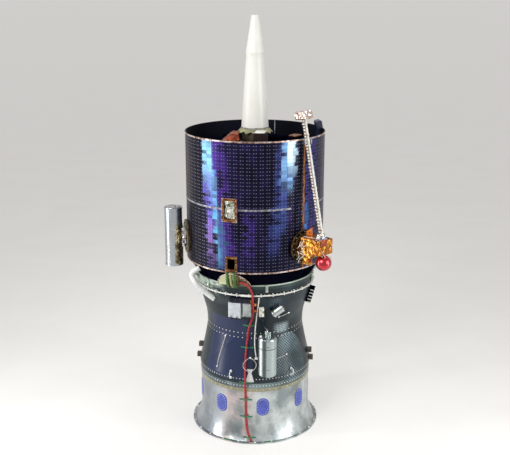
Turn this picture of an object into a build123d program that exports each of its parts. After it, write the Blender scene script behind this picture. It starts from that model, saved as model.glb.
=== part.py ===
"""Spin-stabilised drum spacecraft standing on its solid-motor injection stage.

Millimetres. +Z runs up the spin axis from the underside of the base flange. An azimuth
is in degrees from -Y towards +X, so it runs anticlockwise seen from above. A reach is a
distance from the spin axis, and a rise is counted from what the piece stands on.
"""
from build123d import *
from math import atan, cos, degrees, hypot, radians, sin, tan
import os

os.makedirs("parts", exist_ok=True)

# Clearances: pieces that seat on each other, a pin in its bore, and moving pieces
SEAT = 0.3
RUNNING = 0.05
MOVING = 6.0

# Lengths of the stack, from the floor up
ADAPTER_LENGTH = 530.0
BAND_LENGTH = 36.0
FOOT_LENGTH = 52.0
KNEE_LENGTH = 72.0
LEG_LENGTH = 400.0
THROAT_LENGTH = 165.0
BELL_LENGTH = 317.0
TOP_RING_LENGTH = 68.0
CONE_RING_LENGTH = 32.0
CONE_LENGTH = 131.0
DRUM_LENGTH = 1266.0

# Radii of the stack
FLANGE_RADIUS = 656.0
ADAPTER_RADIUS = 560.0
BAND_RADIUS = 564.0
FOOT_RADIUS = 566.0
KNEE_RADIUS = 572.0
WAIST_RADIUS = 487.0
THROAT_FLARE = 16.0
STAGE_TOP_RADIUS = 589.0
DRUM_RADIUS = 685.0

# Base adapter
ADAPTER_WALL = 6.0
FLANGE_THICKNESS = 14.0
FLANGE_WIDTH = 40.0
SKIRT_START = 235.0
SKIRT_FOOT_RADIUS = 632.0
BASE_BOLT_CIRCLE = 644.0
BASE_BOLTS = 24
BASE_BOLT_HOLE = 5.5
COVERS = 8
COVER_AZIMUTH = 8.1
COVER_RISE = 360.0
COVER_HEIGHT = 190.0
COVER_WIDTH = 128.0
COVER_LAP = 5.0
COVER_THICKNESS = 2.5

# Interstage shell and kick motor
SHELL_WALL = 10.0
RING_WALL = 14.0
LEG_HOLLOW = 4.0
MOTOR_GAP = 12.0
MOTOR_CASE_LENGTH = 325.0
MOTOR_DROP = 190.0
NOZZLE_THROAT_RISE = 470.0
NOZZLE_THROAT_RADIUS = 120.0
NOZZLE_EXIT_RISE = 45.0
NOZZLE_EXIT_RADIUS = 330.0
MOTOR_RING_LENGTH = 80.0

# Clamp band: the band, its tabs and the two bolted joints that release it
CLAMP_WALL = 11.0
CLAMP_HEIGHT = 44.0
CLAMP_TABS = 6
CLAMP_TAB_AZIMUTH = 10.8
CLAMP_TAB_WIDTH = 26.0
CLAMP_TAB_DEPTH = 12.0
CLAMP_TAB_DROP = 26.0
CLAMP_JOINTS = (100.0, 280.0)
CLAMP_LUG_SIZE = (26.0, 34.0, 30.0)
CLAMP_LUG_GAP = 70.0
CLAMP_BOLT_RADIUS = 6.0

# Harness ring, held to the top of the shell by clips
HARNESS_DROP = 19.0
HARNESS_WIRE_RADIUS = 7.0
HARNESS_STAND_OFF = 8.0
HARNESS_CLIPS = 32
HARNESS_CLIP_WIDTH = 8.0
HARNESS_CLIP_PROUD = 12.0
HARNESS_CLIP_DROP = 10.0
HARNESS_CLIP_HEIGHT = 30.0

# Drum: panels, trims and decks
PANEL_WALL = 10.0
TRIM_WALL = 4.0
RIM_TRIM_HEIGHT = 14.0
MID_BAND_RISE = 620.0
MID_BAND_WIDTH = 18.0
MID_BAND_STAND_OFF = 0.8
MID_BAND_GAP = (29.5, 63.0)
SEAM_WIDTH = 26.0
DECK_THICKNESS = 25.0
UPPER_DECK_DEPTH = 169.0
BOOM_RISE = 227.0
BOOM_AZIMUTHS = {"a": 42.0, "b": 162.0, "c": 282.0}
PANELS = {"right": "a", "rear": "b", "front": "c"}

# Windows in the front panel: azimuth, rise of the middle, width and height of the frame
POD = (-20.2, 616.0, 156.0, 230.0)
LOWER_WINDOW = (-19.0, 91.0, 122.0, 152.0)
FRAME_BORDER = 24.0
FRAME_PROUD = 12.0
POD_DEPTH = 70.0
THRUSTER_SPACING = 90.0
THRUSTER_THROAT_RADIUS = 12.0
THRUSTER_MOUTH_RADIUS = 24.0
THRUSTER_LENGTH = 26.0

# Fittings on the cone under the drum: azimuth, width, height and thickness
UMBILICAL_AZIMUTH = -18.5
UMBILICAL_RADIUS = 167.0
UMBILICAL_PLATE = 8.0
UMBILICAL_STAND_OFF = 20.0
UMBILICAL_BLOCK = (110.0, 130.0, 24.0)
CONE_POST_AZIMUTHS = (50.0, 110.0, 170.0, 230.0, 310.0)
CONE_BLOCK_TURN = 6.0
CONE_POST_RADIUS = 8.0
CONE_POST_LENGTH = 62.0
CONE_BLOCK = (26.0, 30.0, 16.0)

# Boom canisters and stowed masts
CANISTER_RADIUS = 150.0
CANISTER_WALL = 10.0
CANISTER_DEPTH = 345.0
CANISTER_PROUD = 5.0
MOUTH_RING_WIDTH = 16.0
MOUTH_RING_DEPTH = 16.0
MAST_RADIUS = 118.0
MAST_TURNS = 9
MAST_GROOVE = 8.0
TIP_PLATE_RADIUS = 129.0
TIP_PLATE_THICKNESS = 12.0

# Electron sensor on mast a, with the hinge of the magnetometer boom on its top
ELECTRON_NECK_RADIUS = 92.0
ELECTRON_NECK_LENGTH = 34.0
ELECTRON_BOX_LENGTH = 245.0
ELECTRON_BOX_WIDTH = 190.0
ELECTRON_BOX_TOP = 120.0
ELECTRON_BOX_BOTTOM = -24.0
ELECTRON_BELLY = (130.0, 20.0, 44.0)
BALL_RADIUS = 76.0
BALL_NECK_RADIUS = 18.0
BALL_NECK_LENGTH = 4.0
BALL_INSET = 24.0
HINGE_INSET = 60.0
HINGE_RISE = 34.0
HINGE_PIN_RADIUS = 6.0
HINGE_WIDTH = 64.0
HINGE_EAR = 10.0
HINGE_EAR_RADIUS = 18.0
HINGE_FOOT = (80.0, 8.0)

# Magnetometer boom: a tube and a cable conduit side by side, tied by spacers
MAG_BOOM_LENGTH = 1093.0
MAG_BOOM_LEAN = 13.2
MAG_TUBE_RADIUS = 12.0
MAG_CONDUIT_RADIUS = 8.0
MAG_TUBE_SPACING = 30.0
MAG_SPACERS = 11
MAG_SPACER = (62.0, 32.0, 8.0)
MAG_KNUCKLE_RADIUS = 16.0
MAG_BOX = (160.0, 90.0, 78.0)
LATCH_HEIGHT = 46.0
LATCH_PRONG = 8.0
LATCH_REACH = 50.0
LATCH_BASE = 7.0

# Gamma sensor on mast c, and the cube and tubes on mast b
GAMMA_STAND_OFF = 29.0
GAMMA_RADIUS = 90.0
GAMMA_LENGTH = 588.0
GAMMA_HANG = 284.0
GAMMA_CAP = 14.0
GAMMA_LIP = 3.0
GAMMA_BLOCK = (110.0, 180.0)
CUBE_SIDE = 170.0
CUBE_LIFT = 20.0
TUBE_RADIUS = 30.0
TUBE_LENGTH = 260.0
TUBE_SPACING = 70.0

# Antenna: the collar on the upper deck, its skirt of tabs, and the radome
COLLAR_HEIGHT = 196.0
COLLAR_RADIUS = 128.0
COLLAR_TABS = 12
COLLAR_TAB_DROP = 49.0
COLLAR_TAB_REACH = 174.0
COLLAR_TAB_THICKNESS = 24.0
COLLAR_TAB_ROOT = 8.0
RADOME_FOOT_RADIUS = 134.0
RADOME_TAPER_LENGTH = 690.0
RADOME_STEP_RADIUS = 86.0
RADOME_STEP_LENGTH = 28.0
RADOME_SHOULDER_RADIUS = 89.0
RADOME_TIP_LENGTH = 345.0
RADOME_TIP_RADIUS = 37.0

# Upper deck: boxes as azimuth, reach, width, depth and rise, the tent and the rim sensor
DECK_BOX = (10.5, 275.0, 105.0, 150.0, 190.0)
REAR_BOXES = ((57.0, 460.0, 120.0, 90.0, 150.0), (140.0, 330.0, 180.0, 140.0, 70.0),
              (215.0, 350.0, 200.0, 150.0, 80.0))
TENT_PLACE = (-53.0, 340.0)
TENT_FOOT = (290.0, 260.0)
TENT_RIDGE = (60.0, 200.0)
TENT_LEAN = 80.0
TENT_RISE = 180.0
RIM_SENSOR_PLACE = (100.0, 48.0)
RIM_SENSOR_SIZE = (60.0, 96.0, 78.0)
RIM_SENSOR_TURN = 12.0
RIM_SENSOR_ROUND = 14.0
RIM_SENSOR_POST = (30.0, 60.0)

# Pressure bottle on the leg of the stage
BOTTLE_AZIMUTH = 10.5
BOTTLE_RADIUS = 90.0
BOTTLE_GAP = 4.0
BOTTLE_RISE = 137.0
BOTTLE_LENGTH = 407.0
BOTTLE_SHOULDER = 26.0
BOTTLE_NECK_RADIUS = 14.0
BOTTLE_NECK_LENGTH = 34.0
BOTTLE_SADDLES = (65.0, 305.0)
BOTTLE_SADDLE_WIDTH = 110.0
BOTTLE_SADDLE_HEIGHT = 30.0

# Boxes on the bell: name, azimuth, drop of the top edge, height, width, and how far proud
# of the stage's top ring
STAGE_BOXES = (
    ("control_box", -19.2, 94.0, 153.0, 126.0, 23.0),
    ("relay_box", -7.6, 94.0, 138.0, 80.0, 17.0),
    ("cable_shelf", -14.0, 42.0, 46.0, 205.0, 29.0),
    ("connector_block", 6.3, 148.0, 88.0, 46.0, 3.0),
)

# Small cylinder that lies aslant on the bell
ASLANT_AZIMUTH = 22.3
ASLANT_DROP = 177.0
ASLANT_STAND_OFF = 6.0
ASLANT_RADIUS = 40.0
ASLANT_LENGTH = 112.0
ASLANT_TURN = 35.0
ASLANT_FOOT = (50.0, 36.0)

# Finned bracket on the bell: a post with slanted fins
FIN_AZIMUTH = 78.0
FIN_DROP = 72.0
FIN_POST = (46.0, 170.0, 14.0)
FINS = 5
FIN_SIZE = (60.0, 44.0, 7.0)
FIN_TURN = 30.0

# Brackets at the knee of the leg: azimuth, rise above the foot ring's top
LEG_BRACKETS = ((82.0, 140.0), (86.0, 40.0), (-98.0, 140.0), (-94.0, 40.0), (172.0, 96.0))
LEG_BRACKET_SIZE = (36.0, 52.0, 44.0)

# Service cable: points on the umbilical cover as across, up and off its slope, then down
# the front of the stack as station, rise above it, azimuth and stand-off
CABLE_RADIUS = 11.0
CABLE_ON_COVER = ((55.3, 69.0, 40.5), (105.0, 69.0, 40.5), (140.0, 43.0, 43.0),
                  (158.0, 0.0, 46.0))
CABLE_ROUTE = (
    ("top", 31.0, -2.6, 43.0), ("top", -12.0, -2.1, 34.0), ("top", -57.0, -2.0, 39.0),
    ("top", -102.0, -2.0, 37.0), ("top", -147.0, -1.9, 31.0), ("top", -202.0, -1.9, 27.0),
    ("top", -242.0, -2.1, 23.0), ("top", -302.0, -4.0, 21.0), ("waist", 120.0, -6.1, 18.5),
    ("waist", 60.0, -7.5, 16.5), ("waist", -5.0, -8.3, 16.0), ("waist", -80.0, -9.0, 15.6),
    ("waist", -165.0, -9.5, 16.8), ("foot", 217.0, -9.8, 16.5), ("foot", 127.0, -9.9, 15.7),
    ("foot", 52.0, -9.8, 16.7), ("foot", -23.0, -9.7, 17.0), ("foot", -98.0, -9.6, 18.0),
    ("floor", 430.0, -9.4, 15.0), ("floor", 340.0, -9.3, 14.5), ("floor", 255.0, -9.2, 16.0),
    ("floor", 185.0, -8.8, 19.7), ("floor", 125.0, -7.6, 18.5), ("floor", 70.0, -5.8, 17.0),
    ("floor", 27.0, -3.4, 17.0))
CABLE_FOOT = (24.0, 44.0, 5.5)

# White harness from the ring down the bell to its clamp on the leg, in the same columns
DROP_RADIUS = 6.0
DROP_ROUTE = (
    ("top", -26.5, 3.8, 8.2), ("top", -54.0, 3.7, 13.7), ("top", -92.0, 3.4, 13.0),
    ("top", -142.0, 2.9, 14.0), ("top", -202.0, 2.3, 14.8), ("top", -262.0, 1.6, 16.0),
    ("waist", 150.0, 0.8, 13.2), ("waist", 75.0, 0.2, 9.0), ("waist", 0.0, -0.3, 9.5),
    ("waist", -70.0, -0.4, 9.4), ("waist", -135.0, 0.2, 10.0), ("waist", -190.0, 1.2, 9.0))
DROP_CLAMP = (24.0, 30.0, 24.0)

# Film-wrapped duct from the cone to the bell, in the same columns
DUCT_RADIUS = 28.0
DUCT_ROUTE = (("top", 191.5, -57.0, 55.0), ("top", 128.0, -62.5, 133.0),
              ("top", 18.0, -56.0, 101.0), ("top", -122.0, -46.0, 2.0))
DUCT_BENDS = (50.0, 110.0)

# Heights that follow from the lengths above
FOOT_RING_FOOT = ADAPTER_LENGTH + BAND_LENGTH
SHELL_FOOT = FOOT_RING_FOOT + FOOT_LENGTH
KNEE = SHELL_FOOT + KNEE_LENGTH
WAIST = KNEE + LEG_LENGTH
THROAT = WAIST + THROAT_LENGTH
STAGE_TOP = THROAT + BELL_LENGTH
SPLIT = STAGE_TOP + TOP_RING_LENGTH
CONE_FOOT = SPLIT + CONE_RING_LENGTH
DRUM_BOTTOM = CONE_FOOT + CONE_LENGTH
DRUM_TOP = DRUM_BOTTOM + DRUM_LENGTH
UPPER_DECK = DRUM_TOP - UPPER_DECK_DEPTH
BOOM_HEIGHT = DRUM_BOTTOM + BOOM_RISE
MID_BAND = DRUM_BOTTOM + MID_BAND_RISE
RADOME_FOOT = UPPER_DECK + COLLAR_HEIGHT

# Radii and reaches that follow
DRUM_INNER = DRUM_RADIUS - PANEL_WALL
MOTOR_RADIUS = WAIST_RADIUS - SHELL_WALL - MOTOR_GAP
THROAT_RADIUS = WAIST_RADIUS + THROAT_FLARE
CLAMP_RADIUS = STAGE_TOP_RADIUS + CLAMP_WALL
CANISTER_MOUTH = DRUM_RADIUS + CANISTER_PROUD
CANISTER_BACK = CANISTER_MOUTH - CANISTER_DEPTH
CANISTER_BORE = CANISTER_RADIUS - CANISTER_WALL
TIP_FACE = CANISTER_MOUTH + MOUTH_RING_DEPTH
CONE_TILT = degrees(atan((DRUM_INNER - STAGE_TOP_RADIUS) / CONE_LENGTH))
BELL_TILT = degrees(atan((STAGE_TOP_RADIUS - THROAT_RADIUS) / BELL_LENGTH))
AZIMUTH_A, AZIMUTH_B, AZIMUTH_C = BOOM_AZIMUTHS.values()
STATIONS = {"floor": 0.0, "foot": SHELL_FOOT, "waist": WAIST, "top": STAGE_TOP}


def outward(azimuth):
    """Unit vector that points away from the spin axis."""
    return Vector(sin(radians(azimuth)), -cos(radians(azimuth)), 0)


def around(azimuth):
    """Unit vector that runs round the craft, anticlockwise from above."""
    return Vector(cos(radians(azimuth)), sin(radians(azimuth)), 0)


def place(azimuth, reach, height, shift=0.0):
    """Point at a reach from the spin axis, shifted sideways round the craft."""
    return outward(azimuth) * reach + around(azimuth) * shift + Vector(0, 0, height)


def level(azimuth, reach=0.0, height=0.0, shift=0.0):
    """Level plane: local X points outward, local Y runs round."""
    return Plane(origin=place(azimuth, reach, height, shift), x_dir=outward(azimuth),
                 z_dir=(0, 0, 1))


def facing(azimuth, reach=0.0, height=0.0, shift=0.0):
    """Upright plane that faces outward: local X runs round, local Y is up."""
    return Plane(origin=place(azimuth, reach, height, shift), x_dir=around(azimuth),
                 z_dir=outward(azimuth))


def upright(azimuth, reach=0.0, height=0.0, shift=0.0):
    """Upright plane through the axis: local X points outward, local Y is up."""
    return Plane(origin=place(azimuth, reach, height, shift), x_dir=outward(azimuth),
                 z_dir=-around(azimuth))


def sloping(azimuth, reach, height, tilt, stand_off=0.0):
    """Plane on a face that leans outward by tilt: local X runs round, local Y up the slope."""
    normal = outward(azimuth) * cos(radians(tilt)) - Vector(0, 0, sin(radians(tilt)))
    return Plane(origin=place(azimuth, reach, height) + normal * stand_off,
                 x_dir=around(azimuth), z_dir=normal)


def on_cone(azimuth, stand_off=SEAT):
    """Plane on the cone under the drum, with its origin at the cone's foot."""
    return sloping(azimuth, STAGE_TOP_RADIUS, CONE_FOOT, CONE_TILT, stand_off)


def on_bell(azimuth, height, stand_off=SEAT):
    """Plane on the bell of the shell, with its origin at the height."""
    return sloping(azimuth, bell_radius(height), height, BELL_TILT, stand_off)


def ring(inner, outer, low, high):
    """Plain ring about the spin axis, added to the part that is open."""
    with Locations((0, 0, low)):
        Cylinder(outer, high - low, align=(Align.CENTER, Align.CENTER, Align.MIN))
        if inner:
            Cylinder(inner, high - low, align=(Align.CENTER, Align.CENTER, Align.MIN),
                     mode=Mode.SUBTRACT)


def bell_radius(height):
    """Outer radius of the shell between its throat and its top."""
    share = (height - THROAT) / BELL_LENGTH
    return THROAT_RADIUS + share * (STAGE_TOP_RADIUS - THROAT_RADIUS)


def leg_radius(height):
    """Outer radius of the shell's straight leg between its knee and its waist."""
    share = (height - KNEE) / LEG_LENGTH
    return KNEE_RADIUS + share * (WAIST_RADIUS - KNEE_RADIUS)


def shell_line(inset):
    """Waisted line of the shell, drawn upwards and moved inwards by inset."""
    foot = Line((FOOT_RADIUS - inset, SHELL_FOOT), (KNEE_RADIUS - inset, KNEE))
    leg_middle = (KNEE + WAIST) / 2
    leg = ThreePointArc(foot @ 1, (leg_radius(leg_middle) - LEG_HOLLOW - inset, leg_middle),
                        (WAIST_RADIUS - inset, WAIST))
    throat_middle = (WAIST_RADIUS + LEG_HOLLOW - inset, (WAIST + THROAT) / 2)
    throat = ThreePointArc(leg @ 1, throat_middle, (THROAT_RADIUS - inset, THROAT))
    Line(throat @ 1, (STAGE_TOP_RADIUS - inset, STAGE_TOP))


def trim_to_shell():
    """Cuts away what lies inside the shell and cone, so that a fitting seats on them."""
    with BuildSketch(Plane.XZ) as core:
        with BuildLine():
            shell_line(-SEAT)
            Polyline((STAGE_TOP_RADIUS + SEAT, STAGE_TOP),
                     (STAGE_TOP_RADIUS + SEAT, CONE_FOOT), (DRUM_INNER + SEAT, DRUM_BOTTOM),
                     (0, DRUM_BOTTOM), (0, SHELL_FOOT), (FOOT_RADIUS + SEAT, SHELL_FOOT))
        make_face()
    revolve(core.sketch, axis=Axis.Z, mode=Mode.SUBTRACT)


def skirt_radius(height):
    """Outer radius of the adapter's flared skirt."""
    flare = SKIRT_FOOT_RADIUS - ADAPTER_RADIUS
    drop = SKIRT_START - FLANGE_THICKNESS
    bend = (flare * flare + drop * drop) / (2 * flare)
    return ADAPTER_RADIUS + bend - (bend ** 2 - max(SKIRT_START - height, 0) ** 2) ** 0.5


def surface_radius(height):
    """Outer radius of the stack at a height between the flange and the drum."""
    if height < ADAPTER_LENGTH:
        return skirt_radius(height)
    if height < SHELL_FOOT:
        return FOOT_RADIUS
    if height < KNEE:
        return KNEE_RADIUS
    if height < WAIST:
        return leg_radius(height)
    if height < THROAT:
        return WAIST_RADIUS + (height - WAIST) / THROAT_LENGTH * (THROAT_RADIUS - WAIST_RADIUS)
    return min(bell_radius(height), STAGE_TOP_RADIUS)


def route_points(route):
    """Points of a route given as station, rise above it, azimuth and stand-off."""
    heights = [STATIONS[station] + rise for station, rise, _, _ in route]
    return [place(azimuth, surface_radius(height) + stand_off, height)
            for height, (_, _, azimuth, stand_off) in zip(heights, route)]


def corner_radii(points):
    """Radius for each corner of a cord's route, as large as its two runs allow."""
    radii = []
    for before, corner, after in zip(points, points[1:], points[2:]):
        turn = (corner - before).get_angle(after - corner)
        shorter = min((corner - before).length, (after - corner).length)
        radii.append(0.45 * shorter / tan(radians(turn) / 2))
    return radii


# Base adapter: a flared aluminium skirt with oval hand holes and a bolting flange
with BuildPart() as base_adapter:
    with BuildSketch(Plane.XZ):
        with BuildLine():
            outer_skirt = TangentArc((ADAPTER_RADIUS, SKIRT_START),
                                     (SKIRT_FOOT_RADIUS, FLANGE_THICKNESS), tangent=(0, -1))
            inner_skirt = TangentArc((ADAPTER_RADIUS - ADAPTER_WALL, SKIRT_START),
                                     (SKIRT_FOOT_RADIUS - ADAPTER_WALL, FLANGE_THICKNESS),
                                     tangent=(0, -1))
            Polyline(outer_skirt @ 1, (FLANGE_RADIUS, FLANGE_THICKNESS), (FLANGE_RADIUS, 0),
                     (FLANGE_RADIUS - FLANGE_WIDTH, 0),
                     (FLANGE_RADIUS - FLANGE_WIDTH, FLANGE_THICKNESS), inner_skirt @ 1)
            Polyline(outer_skirt @ 0, (ADAPTER_RADIUS, ADAPTER_LENGTH),
                     (ADAPTER_RADIUS - ADAPTER_WALL, ADAPTER_LENGTH), inner_skirt @ 0)
        make_face()
    revolve(axis=Axis.Z)
    for number in range(COVERS):
        with BuildSketch(facing(COVER_AZIMUTH + number * 360 / COVERS,
                                ADAPTER_RADIUS - COVER_WIDTH / 2, COVER_RISE)):
            SlotOverall(COVER_HEIGHT - 2 * COVER_LAP, COVER_WIDTH - 2 * COVER_LAP, rotation=90)
        extrude(amount=COVER_WIDTH, mode=Mode.SUBTRACT)
    with BuildSketch(Plane.XY):
        with PolarLocations(BASE_BOLT_CIRCLE, BASE_BOLTS):
            Circle(BASE_BOLT_HOLE)
    extrude(amount=FLANGE_THICKNESS, mode=Mode.SUBTRACT)
base_adapter.part.label = "base_adapter"
export_step(base_adapter.part, "parts/base_adapter.step")

# Oval covers that close the hand holes
with BuildPart() as access_covers:
    for number in range(COVERS):
        with BuildSketch(facing(COVER_AZIMUTH + number * 360 / COVERS,
                                ADAPTER_RADIUS - COVER_WIDTH / 2, COVER_RISE)):
            SlotOverall(COVER_HEIGHT, COVER_WIDTH, rotation=90)
        extrude(amount=COVER_WIDTH)
    with BuildSketch(Plane.XY.offset(COVER_RISE - COVER_HEIGHT)):
        Circle(ADAPTER_RADIUS + SEAT + COVER_THICKNESS)
        Circle(ADAPTER_RADIUS + SEAT, mode=Mode.SUBTRACT)
    extrude(amount=2 * COVER_HEIGHT, mode=Mode.INTERSECT)
access_covers.part.label = "access_covers"
export_step(access_covers.part, "parts/access_covers.step")

# Joint band between the adapter and the stage
with BuildPart() as joint_band:
    ring(BAND_RADIUS - RING_WALL, BAND_RADIUS, ADAPTER_LENGTH, FOOT_RING_FOOT)
joint_band.part.label = "joint_band"
export_step(joint_band.part, "parts/joint_band.step")

# Foot ring of the stage
with BuildPart() as foot_ring:
    ring(FOOT_RADIUS - RING_WALL, FOOT_RADIUS, FOOT_RING_FOOT, SHELL_FOOT)
foot_ring.part.label = "foot_ring"
export_step(foot_ring.part, "parts/foot_ring.step")

# Waisted composite shell that carries the spacecraft over the motor
with BuildPart() as interstage_shell:
    with BuildSketch(Plane.XZ):
        with BuildLine():
            shell_line(0)
            shell_line(SHELL_WALL)
            Line((FOOT_RADIUS, SHELL_FOOT), (FOOT_RADIUS - SHELL_WALL, SHELL_FOOT))
            Line((STAGE_TOP_RADIUS, STAGE_TOP), (STAGE_TOP_RADIUS - SHELL_WALL, STAGE_TOP))
        make_face()
    revolve(axis=Axis.Z)
interstage_shell.part.label = "interstage_shell"
export_step(interstage_shell.part, "parts/interstage_shell.step")

# Solid motor with its closed nozzle, hung from the ring at the shell's waist
MOTOR_LOW = WAIST - MOTOR_DROP
MOTOR_HIGH = MOTOR_LOW + MOTOR_CASE_LENGTH
with BuildPart() as kick_motor:
    with BuildSketch(Plane.XZ):
        with BuildLine():
            crown = CenterArc((0, MOTOR_HIGH), MOTOR_RADIUS, 0, 90)
            Line((MOTOR_RADIUS, MOTOR_HIGH), (MOTOR_RADIUS, MOTOR_LOW))
            belly = TangentArc((MOTOR_RADIUS, MOTOR_LOW),
                               (NOZZLE_THROAT_RADIUS, NOZZLE_THROAT_RISE), tangent=(0, -1))
            Polyline(belly @ 1, (NOZZLE_EXIT_RADIUS, NOZZLE_EXIT_RISE), (0, NOZZLE_EXIT_RISE),
                     (0, MOTOR_HIGH + MOTOR_RADIUS))
        make_face()
    revolve(axis=Axis.Z)
kick_motor.part.label = "kick_motor"
export_step(kick_motor.part, "parts/kick_motor.step")

# Ring that joins the motor case to the waist of the shell
with BuildPart() as motor_ring:
    ring(MOTOR_RADIUS + SEAT, WAIST_RADIUS - SHELL_WALL - SEAT,
         WAIST - MOTOR_RING_LENGTH / 2, WAIST + MOTOR_RING_LENGTH / 2)
motor_ring.part.label = "motor_ring"
export_step(motor_ring.part, "parts/motor_ring.step")

# Top ring of the stage
with BuildPart() as stage_top_ring:
    ring(STAGE_TOP_RADIUS - RING_WALL, STAGE_TOP_RADIUS, STAGE_TOP, SPLIT)
stage_top_ring.part.label = "stage_top_ring"
export_step(stage_top_ring.part, "parts/stage_top_ring.step")

# Black cone that closes the drum down to the separation plane
with BuildPart() as payload_cone:
    with BuildSketch(Plane.XZ):
        with BuildLine():
            Polyline((STAGE_TOP_RADIUS - RING_WALL, SPLIT), (STAGE_TOP_RADIUS, SPLIT),
                     (STAGE_TOP_RADIUS, CONE_FOOT), (DRUM_INNER, DRUM_BOTTOM),
                     (DRUM_INNER - RING_WALL, DRUM_BOTTOM),
                     (STAGE_TOP_RADIUS - RING_WALL, CONE_FOOT), close=True)
        make_face()
    revolve(axis=Axis.Z)
payload_cone.part.label = "payload_cone"
export_step(payload_cone.part, "parts/payload_cone.step")

# Clamp band that holds the spacecraft to the stage, with its tabs and two bolted joints
with BuildPart() as clamp_band:
    band_low = SPLIT - CLAMP_HEIGHT / 2
    for number in range(CLAMP_TABS):
        with BuildSketch(level(CLAMP_TAB_AZIMUTH + number * 360 / CLAMP_TABS, CLAMP_RADIUS,
                               band_low - CLAMP_TAB_DROP)):
            Rectangle(2 * CLAMP_TAB_DEPTH, CLAMP_TAB_WIDTH)
        extrude(amount=CLAMP_HEIGHT + CLAMP_TAB_DROP)
    lug_depth, lug_width, lug_height = CLAMP_LUG_SIZE
    for azimuth in CLAMP_JOINTS:
        for side in (-1, 1):
            lug_shift = side * (CLAMP_LUG_GAP + lug_width) / 2
            with BuildSketch(level(azimuth, CLAMP_RADIUS, SPLIT - lug_height / 2, lug_shift)):
                Rectangle(2 * lug_depth, lug_width)
            extrude(amount=lug_height)
        with BuildSketch(upright(azimuth, CLAMP_RADIUS + lug_depth / 2, SPLIT)):
            Circle(CLAMP_BOLT_RADIUS)
        extrude(amount=CLAMP_LUG_GAP / 2 + lug_width + 2 * CLAMP_BOLT_RADIUS, both=True)
    ring(0, CLAMP_RADIUS, band_low, band_low + CLAMP_HEIGHT)
    with Locations((0, 0, SPLIT)):
        Cylinder(STAGE_TOP_RADIUS + SEAT, 4 * CLAMP_HEIGHT, mode=Mode.SUBTRACT)
clamp_band.part.label = "clamp_band"
export_step(clamp_band.part, "parts/clamp_band.step")

# Half-round umbilical cover that stands off the cone on its connector block
with BuildPart() as umbilical_cover:
    with BuildSketch(on_cone(UMBILICAL_AZIMUTH, UMBILICAL_STAND_OFF)):
        Circle(UMBILICAL_RADIUS)
        with Locations((0, -UMBILICAL_RADIUS)):
            Rectangle(2 * UMBILICAL_RADIUS, 2 * UMBILICAL_RADIUS, mode=Mode.SUBTRACT)
    extrude(amount=UMBILICAL_PLATE)
    block_width, block_height, block_proud = UMBILICAL_BLOCK
    with BuildSketch(on_cone(UMBILICAL_AZIMUTH)):
        with Locations((0, UMBILICAL_RADIUS / 2)):
            Rectangle(block_width, block_height)
    extrude(amount=UMBILICAL_STAND_OFF + UMBILICAL_PLATE + block_proud)
umbilical_cover.part.label = "umbilical_cover"
export_step(umbilical_cover.part, "parts/umbilical_cover.step")

# Push-off posts on the cone, each with a small block beside it
with BuildPart() as cone_posts:
    for azimuth in CONE_POST_AZIMUTHS:
        with BuildSketch(on_cone(azimuth)):
            with Locations((0, CONE_LENGTH / 2)):
                SlotOverall(CONE_POST_LENGTH, 2 * CONE_POST_RADIUS, rotation=90)
        extrude(amount=2 * CONE_POST_RADIUS)
        with BuildSketch(on_cone(azimuth + CONE_BLOCK_TURN)):
            with Locations((0, CONE_LENGTH / 3)):
                Rectangle(CONE_BLOCK[0], CONE_BLOCK[1])
        extrude(amount=CONE_BLOCK[2])
cone_posts.part.label = "cone_posts"
export_step(cone_posts.part, "parts/cone_posts.step")

# Film-wrapped duct at the separation plane, from the cone to the bell
with BuildPart() as film_duct:
    duct_points = route_points(DUCT_ROUTE)
    with BuildLine() as duct_line:
        FilletPolyline(*duct_points, radius=DUCT_BENDS)
    with BuildSketch(Plane(origin=duct_points[0], z_dir=duct_points[1] - duct_points[0])):
        Circle(DUCT_RADIUS)
    sweep(path=duct_line.line)
    trim_to_shell()
film_duct.part.label = "film_duct"
export_step(film_duct.part, "parts/film_duct.step")

# Harness ring with its clips, round the top of the shell
HARNESS_HEIGHT = STAGE_TOP - HARNESS_DROP
with BuildPart() as harness_ring:
    wire_reach = STAGE_TOP_RADIUS + HARNESS_STAND_OFF
    clip_reach = STAGE_TOP_RADIUS + SEAT
    clip_depth = wire_reach + HARNESS_CLIP_PROUD - clip_reach
    with Locations((0, 0, HARNESS_HEIGHT)):
        Torus(wire_reach, HARNESS_WIRE_RADIUS)
    for number in range(HARNESS_CLIPS):
        with BuildSketch(level((number + 0.5) * 360 / HARNESS_CLIPS, clip_reach,
                               HARNESS_HEIGHT - HARNESS_CLIP_DROP)):
            Rectangle(clip_depth, HARNESS_CLIP_WIDTH, align=(Align.MIN, Align.CENTER))
        extrude(amount=HARNESS_CLIP_HEIGHT)
harness_ring.part.label = "harness_ring"
export_step(harness_ring.part, "parts/harness_ring.step")

# Floor of the drum, and the upper deck that carries the instruments and the antenna
with BuildPart() as base_deck:
    ring(0, DRUM_INNER - SEAT, DRUM_BOTTOM, DRUM_BOTTOM + DECK_THICKNESS)
base_deck.part.label = "base_deck"
export_step(base_deck.part, "parts/base_deck.step")

with BuildPart() as equipment_deck:
    ring(0, DRUM_INNER - SEAT, UPPER_DECK - DECK_THICKNESS, UPPER_DECK)
equipment_deck.part.label = "equipment_deck"
export_step(equipment_deck.part, "parts/equipment_deck.step")

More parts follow.
